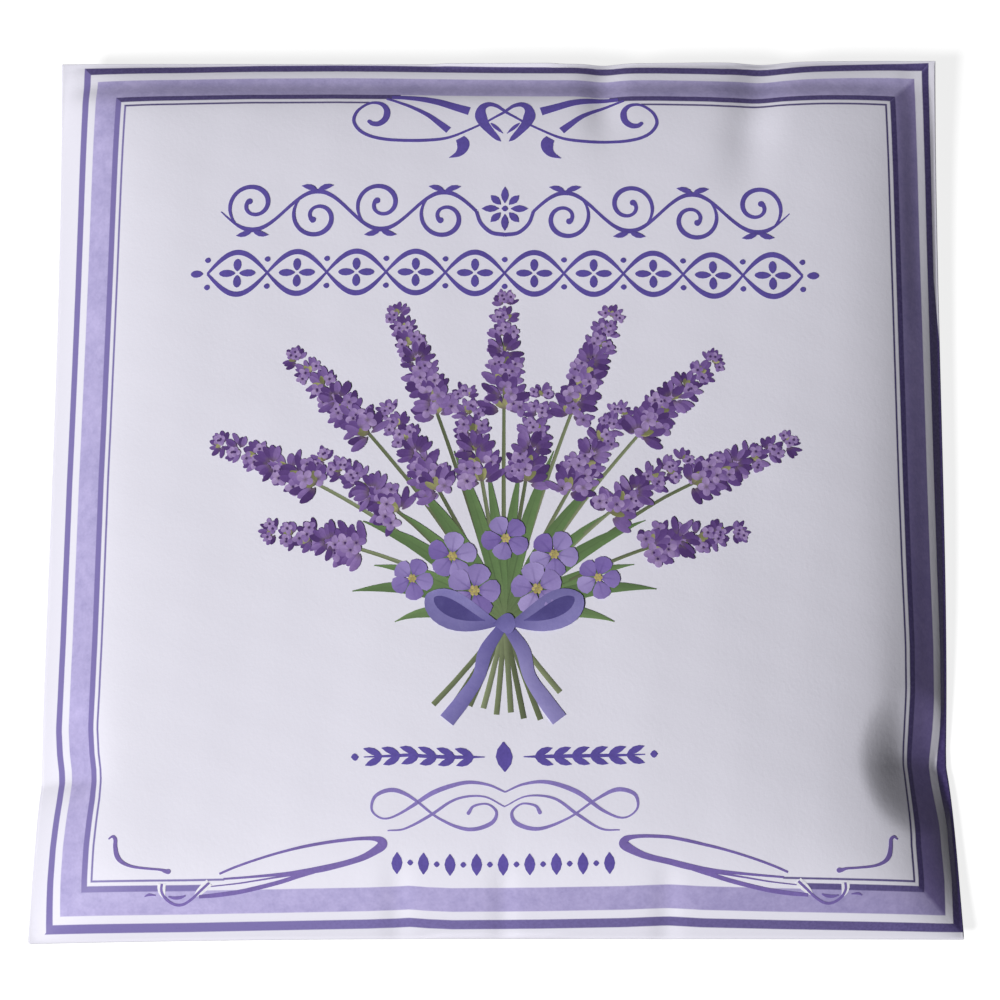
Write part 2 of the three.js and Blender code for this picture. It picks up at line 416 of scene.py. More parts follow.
@dataclass(frozen=True)
class EnvelopeForm:
    """Shape of the filled envelope: heights and places over flat positions, in millimetres."""

    half: float = 55.0
    gauge: float = 0.2
    clearance: float = 0.05
    glue: float = 0.1
    flap_line: float = -35.2
    flap_line_slope: float = 0.02
    left_height: float = 3.0
    right_height: float = 2.75
    mouth_height: float = 6.5
    bottom_height: float = 5.4
    corner_droop: float = 1.6
    lower_right_droop: float = 3.3
    crown: float = 10.0
    left_swell: float = 5.0
    right_swell: float = 7.45
    mouth_swell: float = 5.5
    bottom_swell: float = 3.9
    left_bevel: float = 0.08
    right_bevel: float = 0.02
    mouth_bevel: float = 0.32
    bottom_bevel: float = 0.08
    bevel_width: float = 6.0
    bevel_softness: float = 0.7
    side_blend: float = 25.0
    corner_power: float = 3.0
    lower_right_power: float = 6.0
    heap: Fold = Fold((-3.0, -29.7), (13.0, -29.7), 2.3, 36.0, 25.0)
    side_back: float = 17.0
    mouth_back: float = 24.0
    bottom_back: float = 30.0
    left_bow: float = 0.45
    right_bow: float = 0.35
    mouth_bow: float = 0.87
    bottom_bow: float = 0.6
    mouth_draw: float = 0.55
    bottom_draw: float = 0.08
    lower_right_draw: float = 0.65
    bow_reach: float = 14.0
    left_draw: float = 0.3
    right_draw: float = 0.92
    kink_above: float = 22.0
    kink_below: float = 8.0
    kink_edge: float = 10.0
    left_dip: float = 0.6
    right_dip: float = 2.2
    left_dip_above: float = 6.0
    right_dip_above: float = 19.4
    left_dip_below: float = 5.0
    right_dip_below: float = 75.0
    lap: float = 6.0
    lap_ramp: float = 3.0
    flap_ramp: float = 5.0
    glue_depth: float = 5.8
    glue_lift: float = 0.15
    # The kinks' creases and a dimple above the left one, two creases from the mouth, the dips along the right and top
    # edges, and three small creases in the bottom edge
    folds: tuple[Fold, ...] = (
        Fold((-56.0, -36.3), (-49.5, -36.2), -0.7, 5.0, 2.5, Across.CREASED, lean=0.4),
        Fold((49.0, -33.05), (56.0, -32.95), -0.49, 11.0, 2.5, Across.CREASED, lean=0.15),
        Fold((-50.0, -30.0), (-50.0, -34.5), -0.5, 2.4, 3.0),
        Fold((13.4, 56.0), (13.2, 49.0), -0.75, 2.1, 5.0),
        Fold((33.5, 56.0), (31.5, 45.0), -1.0, 3.0, 7.0),
        Fold((52.1, 46.0), (52.1, -28.0), -0.2, 1.5, 5.0),
        Fold((52.1, 46.0), (52.1, 30.0), -0.25, 1.5, 8.0),
        Fold((-50.0, 51.6), (48.0, 51.6), -0.4, 1.5, 4.0),
        Fold((-11.5, -56.0), (-11.5, -51.0), -0.35, 1.4, 4.0),
        Fold((0.9, -56.0), (0.9, -51.0), -0.35, 1.2, 4.0),
        Fold((19.8, -56.0), (19.8, -51.0), -0.4, 1.4, 4.0),
    )
    pit: Fold = Fold((50.1, -33.8), (50.1, -33.9), -2.17, 7.4, 9.05, Across.HOLLOW)
    pit_edge: float = 0.28

    @property
    def stack(self) -> float:
        """Height of one more ply with its film of glue."""
        return self.gauge + self.glue + 2 * self.clearance

    def kink_line(self, u: Number) -> Number:
        """Where the flap's upper edge is under each position, on a slightly slanted line."""
        return self.flap_line + self.flap_line_slope * u

    def kink_nearness(self, u: Array, v: Array, above: float, below: float) -> Array:
        """How near a position is to the flap's upper edge.

        Args:
            u, v: Flat positions.
            above: How far the nearness reaches towards the mouth.
            below: How far it reaches towards the bottom fold.

        Returns:
            1 on the line, fading as e to the minus distance over reach.
        """
        distance = v - self.kink_line(u)
        return np.exp(-np.abs(distance) / np.where(distance > 0, above, below))

    def plan(self, u: Array, v: Array) -> tuple[Array, Array]:
        """Where flat positions lie once the filling has drawn the edges in.

        Each edge bows in by a parabola along it. The ends are drawn in a little all along, more so towards the lower
        right corner, and the side folds near the kinks. All fade as e to the minus distance from the edge over their
        reach.

        Args:
            u, v: Flat positions.

        Returns:
            Places to the right and towards the mouth.
        """
        side, end = self.half - np.abs(u), self.half - np.abs(v)
        side_bow = np.where(u > 0, self.right_bow, self.left_bow) * (1.0 - (v / self.half) ** 2)
        end_bow = np.where(v > 0, self.mouth_bow, self.bottom_bow) * (1.0 - (u / self.half) ** 2)
        lower_right = self.lower_right_draw * np.maximum(0.0, u / self.half) ** 2
        end_bow = end_bow + np.where(v > 0, self.mouth_draw, self.bottom_draw + lower_right)
        draw = np.where(u > 0, self.right_draw, self.left_draw)
        draw = draw * self.kink_nearness(u, v, self.kink_above, self.kink_below) * np.exp(-side / self.kink_edge)
        inwards = side_bow * np.exp(-side / self.bow_reach) + draw
        return u - np.sign(u) * inwards, v - np.sign(v) * end_bow * np.exp(-end / self.bow_reach)

    def rim(self, u: Array, v: Array) -> Array:
        """Height of the folded rim, carried smoothly across the inside.

        A power of the shares across and along blends the sides' height, the ends' height and the drooping corners. At
        the lower right it is higher, which keeps the rim low up to the corner. The rim dips at the kinks.

        Args:
            u, v: Flat positions.

        Returns:
            Heights of the back's outer face at the rim.
        """
        across = np.abs(u / self.half) ** self.corner_power
        lower_right = self.rightness(u) * (v <= 0)
        along = np.abs(v / self.half) ** (self.corner_power + self.lower_right_power * lower_right)
        side = self.left_height + (self.right_height - self.left_height) * self.rightness(u)
        end = np.where(v > 0, self.mouth_height, self.bottom_height)
        dips = np.where(u > 0, self.right_dip * self.kink_nearness(u, v, self.right_dip_above, self.right_dip_below),
                        self.left_dip * self.kink_nearness(u, v, self.left_dip_above, self.left_dip_below))
        droop = self.corner_droop + (self.lower_right_droop - self.corner_droop) * lower_right
        return side + (end - side) * along - (droop * along + dips * (1.0 - along)) * across

    def rightness(self, u: Array) -> Array:
        """Share of the right side's form that a position has: 0 on the left, 1 on the right, an S-curve between."""
        return smooth_step(-self.side_blend, self.side_blend, u)

    def back_outer(self, u: Array, v: Array) -> Array:
        """Outer face of the back.

        Flat inside, a step up over the flap, and a parabola up to the rim from each edge. Where the printed face is
        dented deeper than that, the back is dented with it.

        Args:
            u, v: Flat positions.

        Returns:
            Heights.
        """
        side = np.maximum(0.0, 1.0 - (self.half - np.abs(u)) / self.side_back) ** 2
        reach = np.where(v > 0, self.mouth_back, self.bottom_back)
        end = np.maximum(0.0, 1.0 - (self.half - np.abs(v)) / reach) ** 2
        edge = 1.0 - (1.0 - side) * (1.0 - end)
        line = self.kink_line(u)
        step = self.stack * (1.0 - smooth_step(0.0, self.flap_ramp, v - line))
        even = step + (self.rim(u, v) - step) * edge
        return np.maximum(step, np.minimum(even, self.skin(u, v) - 2 * self.gauge - self.clearance))

    def lap_lift(self, u: Array) -> Array:
        """How much the lapped seam lifts what lies on it."""
        rising = smooth_step(-self.lap - self.lap_ramp, -self.lap, u)
        return self.stack * rising * (1.0 - smooth_step(self.lap, self.lap + self.lap_ramp, u))

    def skin(self, u: Array, v: Array) -> Array:
        """The printed face as the filling shapes it.

        Rim height plus a swell that grows as 1 less e to the minus distance from each edge, with its folds and soft
        waves.

        Args:
            u, v: Flat positions.

        Returns:
            Heights.
        """
        side_swell = self.left_swell + (self.right_swell - self.left_swell) * self.rightness(u)
        side_bevel = self.left_bevel + (self.right_bevel - self.left_bevel) * self.rightness(u)
        sides = self.swell(self.half - np.abs(u), side_swell, side_bevel)
        ends = np.where(v > 0, self.swell(self.half - v, self.mouth_swell, self.mouth_bevel),
                        self.swell(self.half + v, self.bottom_swell, self.bottom_bevel))
        rim = self.rim(u, v)
        rise = (self.crown + self.heap.height(u, v) - rim) * sides * ends
        pit = self.pit.height(u, v) * (1.0 - np.exp(-(self.half - np.abs(u)) / self.pit_edge))
        face = rim + 2 * self.gauge + self.clearance + rise + pit + self.waves(u, v) * sides * ends
        for fold in self.folds:
            face = face + fold.height(u, v)
        return face

    def front_outer(self, u: Array, v: Array) -> Array:
        """Printed face of the envelope: its skin, never lower than the plies it lies on.

        Args:
            u, v: Flat positions.

        Returns:
            Heights.
        """
        end = self.half - self.glue_depth
        mouth = smooth_step(end - self.glue_depth, end, v)
        seat = self.back_outer(u, v) + 2 * self.gauge + self.clearance + self.lap_lift(u) + self.glue_lift * mouth
        return np.maximum(seat, self.skin(u, v))

    def swell(self, distance: Array, reach: Number, bevel: Number) -> Array:
        """Share of the full rise at a distance in from an edge.

        1 less e to the minus distance over reach, mixed with an even ramp across the edge strip that ends softly.

        Args:
            distance: How far in from the edge.
            reach: The reach of the curve.
            bevel: The ramp's share.

        Returns:
            Shares from 0 to 1.
        """
        soft, width = self.bevel_softness, self.bevel_width
        ramp = 1.0 - np.logaddexp(0.0, (width - distance) / soft) / np.logaddexp(0.0, width / soft)
        return bevel * ramp + (1.0 - bevel) * (1.0 - np.exp(-distance / reach))

    @staticmethod
    def waves(u: Array, v: Array) -> Array:
        """The paper's soft waves over the grains: a few sines of 9 to 30 mm, 0.01 to 0.06 mm high."""
        return (0.06 * np.sin(u / 4.7 + 0.9 * np.sin(v / 7.3)) * np.sin(v / 6.1 + 1.3)
                + 0.03 * np.sin(u / 2.3 - v / 3.7 + 0.6) * np.sin(u / 5.9 + v / 3.1)
                + 0.012 * np.sin(u / 1.3 + v / 2.1) * np.sin(v / 1.5 - u / 2.9))

    def front(self, u: Array, v: Array, lift: Number = 0.0) -> Array:
        """Points on the printed face.

        Args:
            u, v: Flat positions.
            lift: How far above the face.

        Returns:
            Points in millimetres, in the last axis.
        """
        x, y = self.plan(u, v)
        return np.stack([x, y, self.front_outer(u, v) + lift], axis=-1)


@dataclass(frozen=True)
class PrintLayout:
    """Where the print lies on the sheet, and the border's stripes from the outermost inwards, in millimetres.

    The margins are the paper's widths outside the border, at places along each side. The print isn't quite square to
    the folds, and the creases shift it a little.
    """

    half: float = 55.0
    outer_half: float = 54.03
    outer_rule: float = 0.76
    white_gap: float = 1.72
    band: float = 4.45
    inner_rule: float = 5.12
    inner_gap: float = 5.54
    thin_rule: float = 5.79
    left_places: tuple[float, ...] = (-48, -44, -41, -38.5, -36.5, -35, -33, -30, -26, -20, 0, 20, 40, 48)
    left_margins: tuple[float, ...] = (
        2.08, 2.2, 2.42, 2.64, 2.67, 2.56, 2.24, 1.98, 2.1, 2.19, 2.27, 2.51, 2.74, 2.87)
    right_places: tuple[float, ...] = (-52, -48, -44, -41, -38, -34, -32, -30, -26, -20, -10, 0, 20, 30, 40, 52)
    right_margins: tuple[float, ...] = (
        0.38, 0.32, 0.5, 0.45, 0.42, 0.4, 0.35, 0.28, 0.2, 0.14, 0.38, 0.5, 0.6, 0.65, 0.7, 0.86)
    top_places: tuple[float, ...] = (-48, -40, -30, -20, -14, 0, 12, 20, 25, 28, 31, 37, 40, 44, 48, 55)
    top_margins: tuple[float, ...] = (
        1.2, 1.13, 0.91, 0.82, 0.85, 1.07, 1.19, 1.29, 1.43, 1.53, 1.41, 1.39, 1.25, 1.14, 1.05, 0.9)
    bottom_places: tuple[float, ...] = (-48, -36, -25, -15, -12, -10, -8, -5, 5, 15, 20, 24, 33, 44, 52)
    bottom_margins: tuple[float, ...] = (
        1.2, 1.17, 1.26, 1.38, 1.48, 1.57, 1.4, 1.27, 1.35, 1.54, 1.75, 1.52, 1.33, 1.17, 1.05)
    blend_reach: float = 40.0
    top_rim: float = -0.65
    right_rim: float = -0.12
    kink_rim: float = -0.75
    kink_place: float = -36.0
    kink_reach: float = 9.0
    kink_push: float = 0.62
    kink_push_reach: float = 5.2
    kink_push_depth: float = 4.5
    rim_reach: float = 3.0

    def printed(self, u: Array, v: Array) -> tuple[Array, Array]:
        """Print position of flat positions.

        Each side's print is shifted by its margin, and a little less close to the top and right edges. At the right
        kink the outer stripes are pushed in, by e to the minus fourth power of their depth. The shift goes over from
        one side's to the other's along an S-curve.

        Args:
            u, v: Flat positions.

        Returns:
            Print positions p and q.
        """
        across, along = (smooth_step(-self.blend_reach, self.blend_reach, place) for place in (u, v))
        even = self.half - self.outer_half
        left = np.interp(v, self.left_places, self.left_margins)
        right_rim = self.right_rim + self.kink_rim * bell(v - self.kink_place, self.kink_reach)
        right = np.interp(v, self.right_places, self.right_margins)
        right = right + right_rim * np.exp((u - self.half) / self.rim_reach)
        push = self.kink_push * bell(v - self.kink_place, self.kink_push_reach)
        right = right + push * np.exp(-(((self.half - u) / self.kink_push_depth) ** 4))
        top = np.interp(u, self.top_places, self.top_margins)
        top = top + self.top_rim * np.exp((v - self.half) / self.rim_reach)
        bottom = np.interp(u, self.bottom_places, self.bottom_margins)
        p = u + (even - left) * (1.0 - across) + (right - even) * across
        q = v + (even - bottom) * (1.0 - along) + (top - even) * along
        return p, q

    def flat(self, p: Array, q: Array) -> tuple[Array, Array]:
        """Flat position of print positions: the inverse of printed, by eight steps that take back what is left over.

        Args:
            p, q: Print positions.

        Returns:
            Flat positions.
        """
        u, v = p, q
        for _ in range(8):
            there_p, there_q = self.printed(u, v)
            u, v = u + p - there_p, v + q - there_q
        return u, v


# Finishes


@dataclass(frozen=True)
class PrintedPaper:
    """Satin paper, printed with the border's rules and its violet band, on which light and sheen are painted: the
    band is painted lighter at the left, the top and the bottom's left end, and darker as painted shade at the right;
    the rules likewise, but darker at the top too.

    A side's painted light is how light the ink is painted at that side's middle, and how that changes per millimetre
    to the right or upwards.
    The outer rule is wider along the bottom, and along the right as far up as the fold shade reaches; there it runs
    out over the rounded fold as painted shade.
    """

    layout: PrintLayout
    paper: Colour = (0.790, 0.775, 0.868)
    paper_dark: Colour = (0.66, 0.64, 0.72)
    # The band's colour in painted shade, then in painted light and sheen.
    band_painted_shade: Colour = (0.172, 0.138, 0.320)
    band_painted_light: Colour = (0.445, 0.400, 0.670)
    mottle_dark: Colour = (0.82, 0.82, 0.86)
    mottle_light: Colour = (1.18, 1.18, 1.12)
    # The rules' colour in painted shade, then in painted light and sheen.
    rule_painted_shade: Colour = (0.050, 0.036, 0.120)
    rule_painted_light: Colour = (0.205, 0.170, 0.405)
    inner_rule_gaps: tuple[float, float] = (13.4, 34.7)
    thin_rule_gaps: tuple[float, float] = (17.4, 32.6)
    roughness: float = 0.50
    ink_roughness: float = 0.42
    gloss: float = 0.1
    softness: float = 0.10
    corner_softness: float = 0.05
    # Painted light: how softly it goes over between sides, and its share at the bottom's and the right's middle with
    # its change per millimetre.
    painted_light_softness: float = 0.8
    bottom_wear: tuple[float, float] = (0.86, -0.005)
    right_wear: tuple[float, float] = (0.10, 0.0045)
    outer_spread: float = 0.1
    bottom_spread: float = 0.2
    # Painted shade on the right fold: the outer rule's spread over it, how far up it reaches and how it fades.
    fold_shade_spread: float = 0.6
    fold_shade_end: float = 22.0
    fold_shade_fade: float = 9.0

    @staticmethod
    def quarter(towards: Wire, aside: Wire, softness: float) -> Wire:
        """1 in the quarter of the print next to one side, between the diagonals, and 0 outside."""
        return (towards - abs(aside)).above(0.0, softness)

    def painted_light_share(self, p: Wire, q: Wire) -> Wire:
        """Painted light and sheen on the print: none, as painted shade, at the right, and full at the top, the left
        and the bottom's left end.

        Args:
            p, q: Print positions.

        Returns:
            Shares from 0, painted shade, to 1, painted light.
        """
        sides = (0.0 - p, q), (0.0 - q, p), (q, p), (p, q)
        at_left, at_bottom, at_top, at_right = (self.quarter(*side, self.painted_light_softness) for side in sides)
        (below, below_change), (beside, beside_change) = self.bottom_wear, self.right_wear
        share = at_left + at_bottom * (below + below_change * p) + at_top
        return (share + at_right * (beside + beside_change * q).clamped()).clamped()

    def material(self) -> Material:
        """Builds the material.

        Returns:
            Paper whose stripes follow the UV map "print".
        """
        bench = Bench("printed_paper_satin")
        p, q = ((place - 0.5) * PRINT_SPAN for place in bench.uv("print"))
        soft, lay = self.softness, self.layout
        depth = lay.outer_half - abs(p).larger(abs(q))
        sides = (q, p), (0.0 - q, p), (p, q)
        at_top, at_bottom, at_right = (self.quarter(*side, self.corner_softness) for side in sides)
        # Painted shade: the outer rule runs out over the right fold's rounded edge, which faces away from the light.
        painted_fold_shade = at_right * (self.fold_shade_end - q).above(0.0, self.fold_shade_fade)

        def broken(rule: Wire, top_gap: float, bottom_gap: float) -> Wire:
            """A rule with the gaps in which the scrolls stand."""
            in_top, in_bottom = (1.0 - abs(p).above(gap, soft) for gap in (top_gap, bottom_gap))
            return rule * (1.0 - at_top * in_top - at_bottom * in_bottom)

        # The outer rule's spread: even, plus painted shade over the right fold, and wider along the bottom.
        spread = self.outer_spread + self.fold_shade_spread * painted_fold_shade + self.bottom_spread * at_bottom
        outer = (depth + spread).above(0.0, soft) * (1.0 - depth.above(lay.outer_rule, soft))
        inner = broken(depth.between(lay.band - 0.05, lay.inner_rule, soft), *self.inner_rule_gaps)
        thin = broken(depth.between(lay.inner_gap, lay.thin_rule, soft), *self.thin_rule_gaps)
        band = depth.between(lay.white_gap, lay.band, soft)
        cloud, grain, fleck = bench.noise(5.0, 3.0), bench.noise(0.35, 2.0), bench.noise(1.1, 4.0)
        paper = bench.mix(0.05 * (cloud - 0.5) + 0.10 * (grain - 0.5) + 0.08, self.paper, self.paper_dark)
        # Painted light and sheen: the band goes from its painted-shade colour to its painted-light colour.
        painted_light_share = self.painted_light_share(p, q)
        mottle = (0.5 + 1.2 * (cloud - 0.5) + 0.8 * (grain - 0.5) + 1.1 * (fleck - 0.5)).clamped()
        violet = bench.mix(1.0, bench.mix(painted_light_share, self.band_painted_shade, self.band_painted_light),
                           bench.mix(mottle, self.mottle_dark, self.mottle_light), "MULTIPLY")
        # Painted light on the rules, weaker at the top, where the rules are painted darker; the grain term is the
        # ink's own unevenness.
        rule_light_and_grain = painted_light_share * painted_light_share * (1.0 - 0.77 * at_top) + 0.5 * (grain - 0.42)
        ink = bench.mix(rule_light_and_grain.clamped(), self.rule_painted_shade, self.rule_painted_light)
        rules = outer.larger(inner).larger(thin)
        covered = rules.larger(band)
        return bench.finish(
            Base_Color=bench.mix(rules, bench.mix(band, paper, violet), ink),
            Roughness=self.roughness + 0.06 * (grain - 0.5) + (self.ink_roughness - self.roughness) * covered,
            Specular_IOR_Level=self.gloss,
            Normal=bench.bump(0.7 * bench.felt() + 0.3 * bench.noise(2.6, 2.0), 0.035),
        )


@dataclass(frozen=True)
class PrintInk:
    """Flat ink of one colour on the paper, a little uneven, as thin as it prints."""

    name: str
    ink: Colour = (0.098, 0.072, 0.300)
    roughness: float = 0.42
    gloss: float = 0.1

    def material(self) -> Material:
        """Builds the material."""
        bench = Bench(self.name)
        cloud, grain = bench.noise(2.5, 2.0), bench.noise(0.3, 2.0)
        share = (0.25 + 0.8 * (cloud - 0.5) + 0.8 * (grain - 0.5)).clamped()
        colour = bench.mix(share, self.ink, tuple(min(1.0, 1.55 * c) for c in self.ink))
        return bench.finish(Base_Color=colour, Roughness=self.roughness + 0.06 * (grain - 0.5),
                            Specular_IOR_Level=self.gloss, Normal=bench.bump(bench.felt(), 0.03))


@dataclass(frozen=True)
class Paint:
    """Paint of leaves, petals and stems.

    The attribute "tone" picks the colour from the stops. The UV map "paint" runs across from 0 to 1 and along from
    root to tip: the root has a colour of its own, one side is in shade, and a fine rib runs down the middle.
    """

    name: str
    stops: tuple[tuple[float, Colour], ...]
    root: Colour
    shadow: Colour
    root_reach: float = 0.3
    rib: float = 0.25
    rib_width: float = 0.09
    shade: float = 0.30
    mottle: float = 0.2

    def material(self) -> Material:
        """Builds the material."""
        bench = Bench(self.name)
        across, along = bench.uv("paint")
        tone = bench.node("ShaderNodeAttribute", {"attribute_name": "tone"}, {}, output="Fac")
        cloud, grain = bench.noise(1.1, 2.0), bench.noise(0.22, 2.0)
        place = (tone + self.mottle * (cloud - 0.5) + 0.5 * self.mottle * (grain - 0.5)).clamped()
        colour = bench.node("ShaderNodeValToRGB", {"stops": self.stops}, {0: place})
        by_root = (1.0 - along / self.root_reach).clamped()
        colour = bench.mix(0.85 * by_root, colour, self.root)
        ribbed = (1.0 - abs(across - 0.5) / self.rib_width).clamped() * (1.0 - along)
        shaded = (self.rib * ribbed + self.shade * across).clamped()
        return bench.finish(Base_Color=bench.mix(shaded, colour, self.shadow),
                            Roughness=0.45 + 0.06 * (grain - 0.5), Specular_IOR_Level=0.2,
                            Normal=bench.bump(bench.felt(), 0.03))


@dataclass(frozen=True)
class PlainPaper:
    """The envelope's unprinted side: matt, with a fine felt and faint long clouds."""

    paper: Colour = (0.80, 0.785, 0.84)
    roughness: float = 0.68

    def material(self) -> Material:
        """Builds the material."""
        bench = Bench("plain_paper_matt")
        cloud, grain = bench.noise(7.0, 3.0), bench.noise(0.4, 2.0)
        colour = bench.mix((0.5 + 1.0 * (cloud - 0.5) + 0.6 * (grain - 0.5)).clamped(),
                           tuple(0.95 * c for c in self.paper), tuple(1.03 * c for c in self.paper))
        return bench.finish(Base_Color=colour, Roughness=self.roughness + 0.08 * (grain - 0.5),
                            Normal=bench.bump(bench.felt(0.6), 0.03))


@dataclass(frozen=True)
class DriedGlue:
    """Dried cream glue, uneven in tone."""

    dark: Colour = (0.70, 0.62, 0.44)
    light: Colour = (0.86, 0.80, 0.64)

    def material(self) -> Material:
        """Builds the material."""
        bench = Bench("dried_glue")
        cloud = bench.noise(2.0, 3.0)
        return bench.finish(Base_Color=bench.mix(cloud, self.dark, self.light), Roughness=0.3 + 0.2 * cloud,
                            Normal=bench.bump(cloud, 0.05))


@dataclass(frozen=True)
class Grains:
    """Loose mineral grains, in cells of one tone each."""

    name: str
    size_mm: float
    dark: Colour
    light: Colour
    relief_mm: float

    def material(self) -> Material:
        """Builds the material."""
        bench = Bench(self.name)
        cells = {"Vector": bench.place(), "Scale": 1.0 / (self.size_mm * MM)}
        tone, heights = (bench.node("ShaderNodeTexVoronoi", {}, cells, output=name) for name in ("Color", "Distance"))
        share = bench.node("ShaderNodeSeparateXYZ", {}, {0: tone})
        colour = bench.mix((0.8 * share + 0.4 * bench.noise(self.size_mm * 0.4)).clamped(), self.dark, self.light)
        return bench.finish(Base_Color=colour, Roughness=0.75 + 0.2 * share,
                            Normal=bench.bump(1.0 - heights, self.relief_mm))


# Sub-assemblies


@dataclass(frozen=True)
class Envelope:
    """The folded paper: printed front, two lapped back halves and the bottom flap."""

    form: EnvelopeForm
    layout: PrintLayout
    side_nose: float = 0.24
    bottom_nose: float = 0.14
    cut_nose: float = 0.09
    thin_nose: float = 0.02
    tuck: float = 0.06
    flap_overhang: float = 0.4
    flap_overhang_reach: float = 8.0
    flap_overhang_taper: float = 4.0
    seam_glue: Rectangle = (-3.5, 3.5, -51.0, 51.0)
    flap_glue: Rectangle = (-50.0, 50.0, -47.1, -38.1)
    mouth_glue: Rectangle = (-51.0, 51.0, 49.2, 54.2)
    fill: float = 0.45

    BAKE_SHARES = {True: ((0.001, 0.965), (0.970, 0.028)), False: ((0.001, 0.498), (0.501, 0.498))}
    OFF_PRINT = -2.0

    def sheet(self, name: str, across: Lines, along: Lines, upper: Surface, thickness: float,
              material: Material, slot: str, edge_lower: Surface | None = None) -> bpy.types.Object:
        """Makes a closed sheet with rounded edges.

        Past its last line the sheet goes on as half an ellipse that runs from its upper face down to its lower one,
        or to edge_lower, so that a fold takes in the plies below it. Where two edges meet, a square of lines is
        pressed onto a quarter disc. Printed paper carries the print on its upper face and its edges.

        Args:
            name: The piece's name.
            across: Lines of equal u.
            along: Lines of equal v.
            upper: Height of the upper face over flat positions.
            thickness: How far the lower face is below it.
            material: The sheet's material.
            slot: The record's material slot.
            edge_lower: Height of the lower face on the rounded edges, where it differs.

        Returns:
            The new object.
        """
        u, v = np.meshgrid(across.flat(), along.flat())
        a, b = np.meshgrid(across.nose(), along.nose())
        reach_u, reach_v = np.meshgrid(across.reach(), along.reach())
        outer = np.logical_or(*np.meshgrid(across.outer(), along.outer()))
        out_u, out_v = a * np.sqrt(1.0 - b**2 / 2), b * np.sqrt(1.0 - a**2 / 2)
        round_share = np.sqrt(np.clip(1.0 - out_u**2 - out_v**2, 0.0, 1.0))
        out_u, out_v = out_u * reach_u, out_v * reach_v
        x, y = self.form.plan(u, v)
        top = upper(u, v)
        bottom = np.where(outer, edge_lower(u, v), top - thickness) if edge_lower else top - thickness
        middle, half = (top + bottom) / 2, (top - bottom) / 2 * round_share
        above = np.stack([x + out_u, y + out_v, middle + half], axis=-1)
        below = np.stack([x + out_u, y + out_v, middle - half], axis=-1)
        rows, columns = u.shape
        inner = np.zeros((rows, columns), dtype=bool)
        inner[1:-1, 1:-1] = True
        numbers = np.arange(rows * columns).reshape(rows, columns)
        numbers[inner] = rows * columns + np.arange(inner.sum())
        cells = Meshes.grid(rows, columns)
        printed = slot == "printed_paper"
        spread = (np.stack([u + out_u, v + out_v], axis=-1) / BAKE_SPAN + 0.5).reshape(-1, 2)[cells]
        maps = {"OFBake": [side * (width, 0.998) + (start, 0.001) for side, (start, width) in zip(
            (spread, spread[:, ::-1]), self.BAKE_SHARES[printed])]}
        if printed:
            on_print = np.stack(self.layout.printed(u + out_u, v + out_v), axis=-1) / PRINT_SPAN + 0.5
            on_print = on_print.reshape(-1, 2)[cells]
            wrapped = np.where(outer.ravel()[cells][:, ::-1, None], on_print[:, ::-1], self.OFF_PRINT)
            maps["print"] = [on_print, wrapped]
        points = np.concatenate([above.reshape(-1, 3), below[inner]])
        faces = [cells, numbers.ravel()[cells][:, ::-1]]
        return Meshes.piece(name, points, faces, material, slot, maps, crease=math.radians(60))

    def back_inner(self, u: Array, v: Array) -> Array:
        """Inner face of the back, over the lap too."""
        return self.form.back_outer(u, v) + self.form.gauge + self.form.lap_lift(u)

    def flap_place(self, u: Array, v: Array) -> Array:
        """How far the flap stands out past the drawn-in folds: a curve that fades down from its upper edge."""
        down = self.form.kink_line(u) - v
        corner = np.maximum(0.0, 1.0 - (self.form.half + v) / self.flap_overhang_reach) ** 2
        return self.flap_overhang * np.exp(-down / self.flap_overhang_reach) * (1.0 - corner)

    def build(self) -> None:
        """Builds the four sheets and the films of glue, and lets each stand for its CAD node."""
        form, half, gauge, thin, cut = self.form, self.form.half, self.form.gauge, self.thin_nose, self.cut_nose
        print_finish, plain_finish = PrintedPaper(self.layout).material(), PlainPaper().material()
        kinks = [(form.flap_line, 3.5)]
        front = self.sheet(
            "printed_front", Lines.spread(-half, half, 0.30, 0.72, 7.5, (self.side_nose, self.side_nose)),
            Lines.spread(-half, half, 0.34, 0.70, 6.0, (self.bottom_nose, cut), kinks),
            form.front_outer, gauge, print_finish, "printed_paper",
            edge_lower=lambda u, v: np.where(v > half - 0.01, form.front_outer(u, v) - gauge,
                                             form.back_outer(u, v) - np.where(v < 0.01 - half, form.stack, 0.0)))
        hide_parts("front_panel")
        end = half - self.tuck
        back_v = Lines.spread(-end, half, 0.5, 1.3, 8.0, (thin, cut), kinks)
        left_u = Lines.spread(-end, form.lap, 0.5, 1.3, 8.0, (thin, cut))
        right_u = Lines.spread(-form.lap, end, 0.5, 1.3, 8.0, (cut, thin))
        left = self.sheet("back_left_half", left_u, back_v, self.back_inner, gauge, plain_finish, "plain_paper")
        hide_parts("back_panel_left")
        right = self.sheet("back_right_half", right_u, back_v, lambda u, v: form.back_outer(u, v) + gauge, gauge,
                           plain_finish, "plain_paper")
        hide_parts("back_panel_right")
        glue = DriedGlue().material()
        self.film("seam_glue_film", "centre_seam_adhesive", self.seam_glue,
                  lambda u, v: form.back_outer(u, v) + gauge, glue)
        self.film("flap_glue_film", "bottom_flap_adhesive", self.flap_glue,
                  lambda u, v: form.back_outer(u, v) + gauge - form.stack, glue)
        self.film("mouth_glue_film", "mouth_adhesive", self.mouth_glue, self.back_inner, glue)
        self.flap(plain_finish)

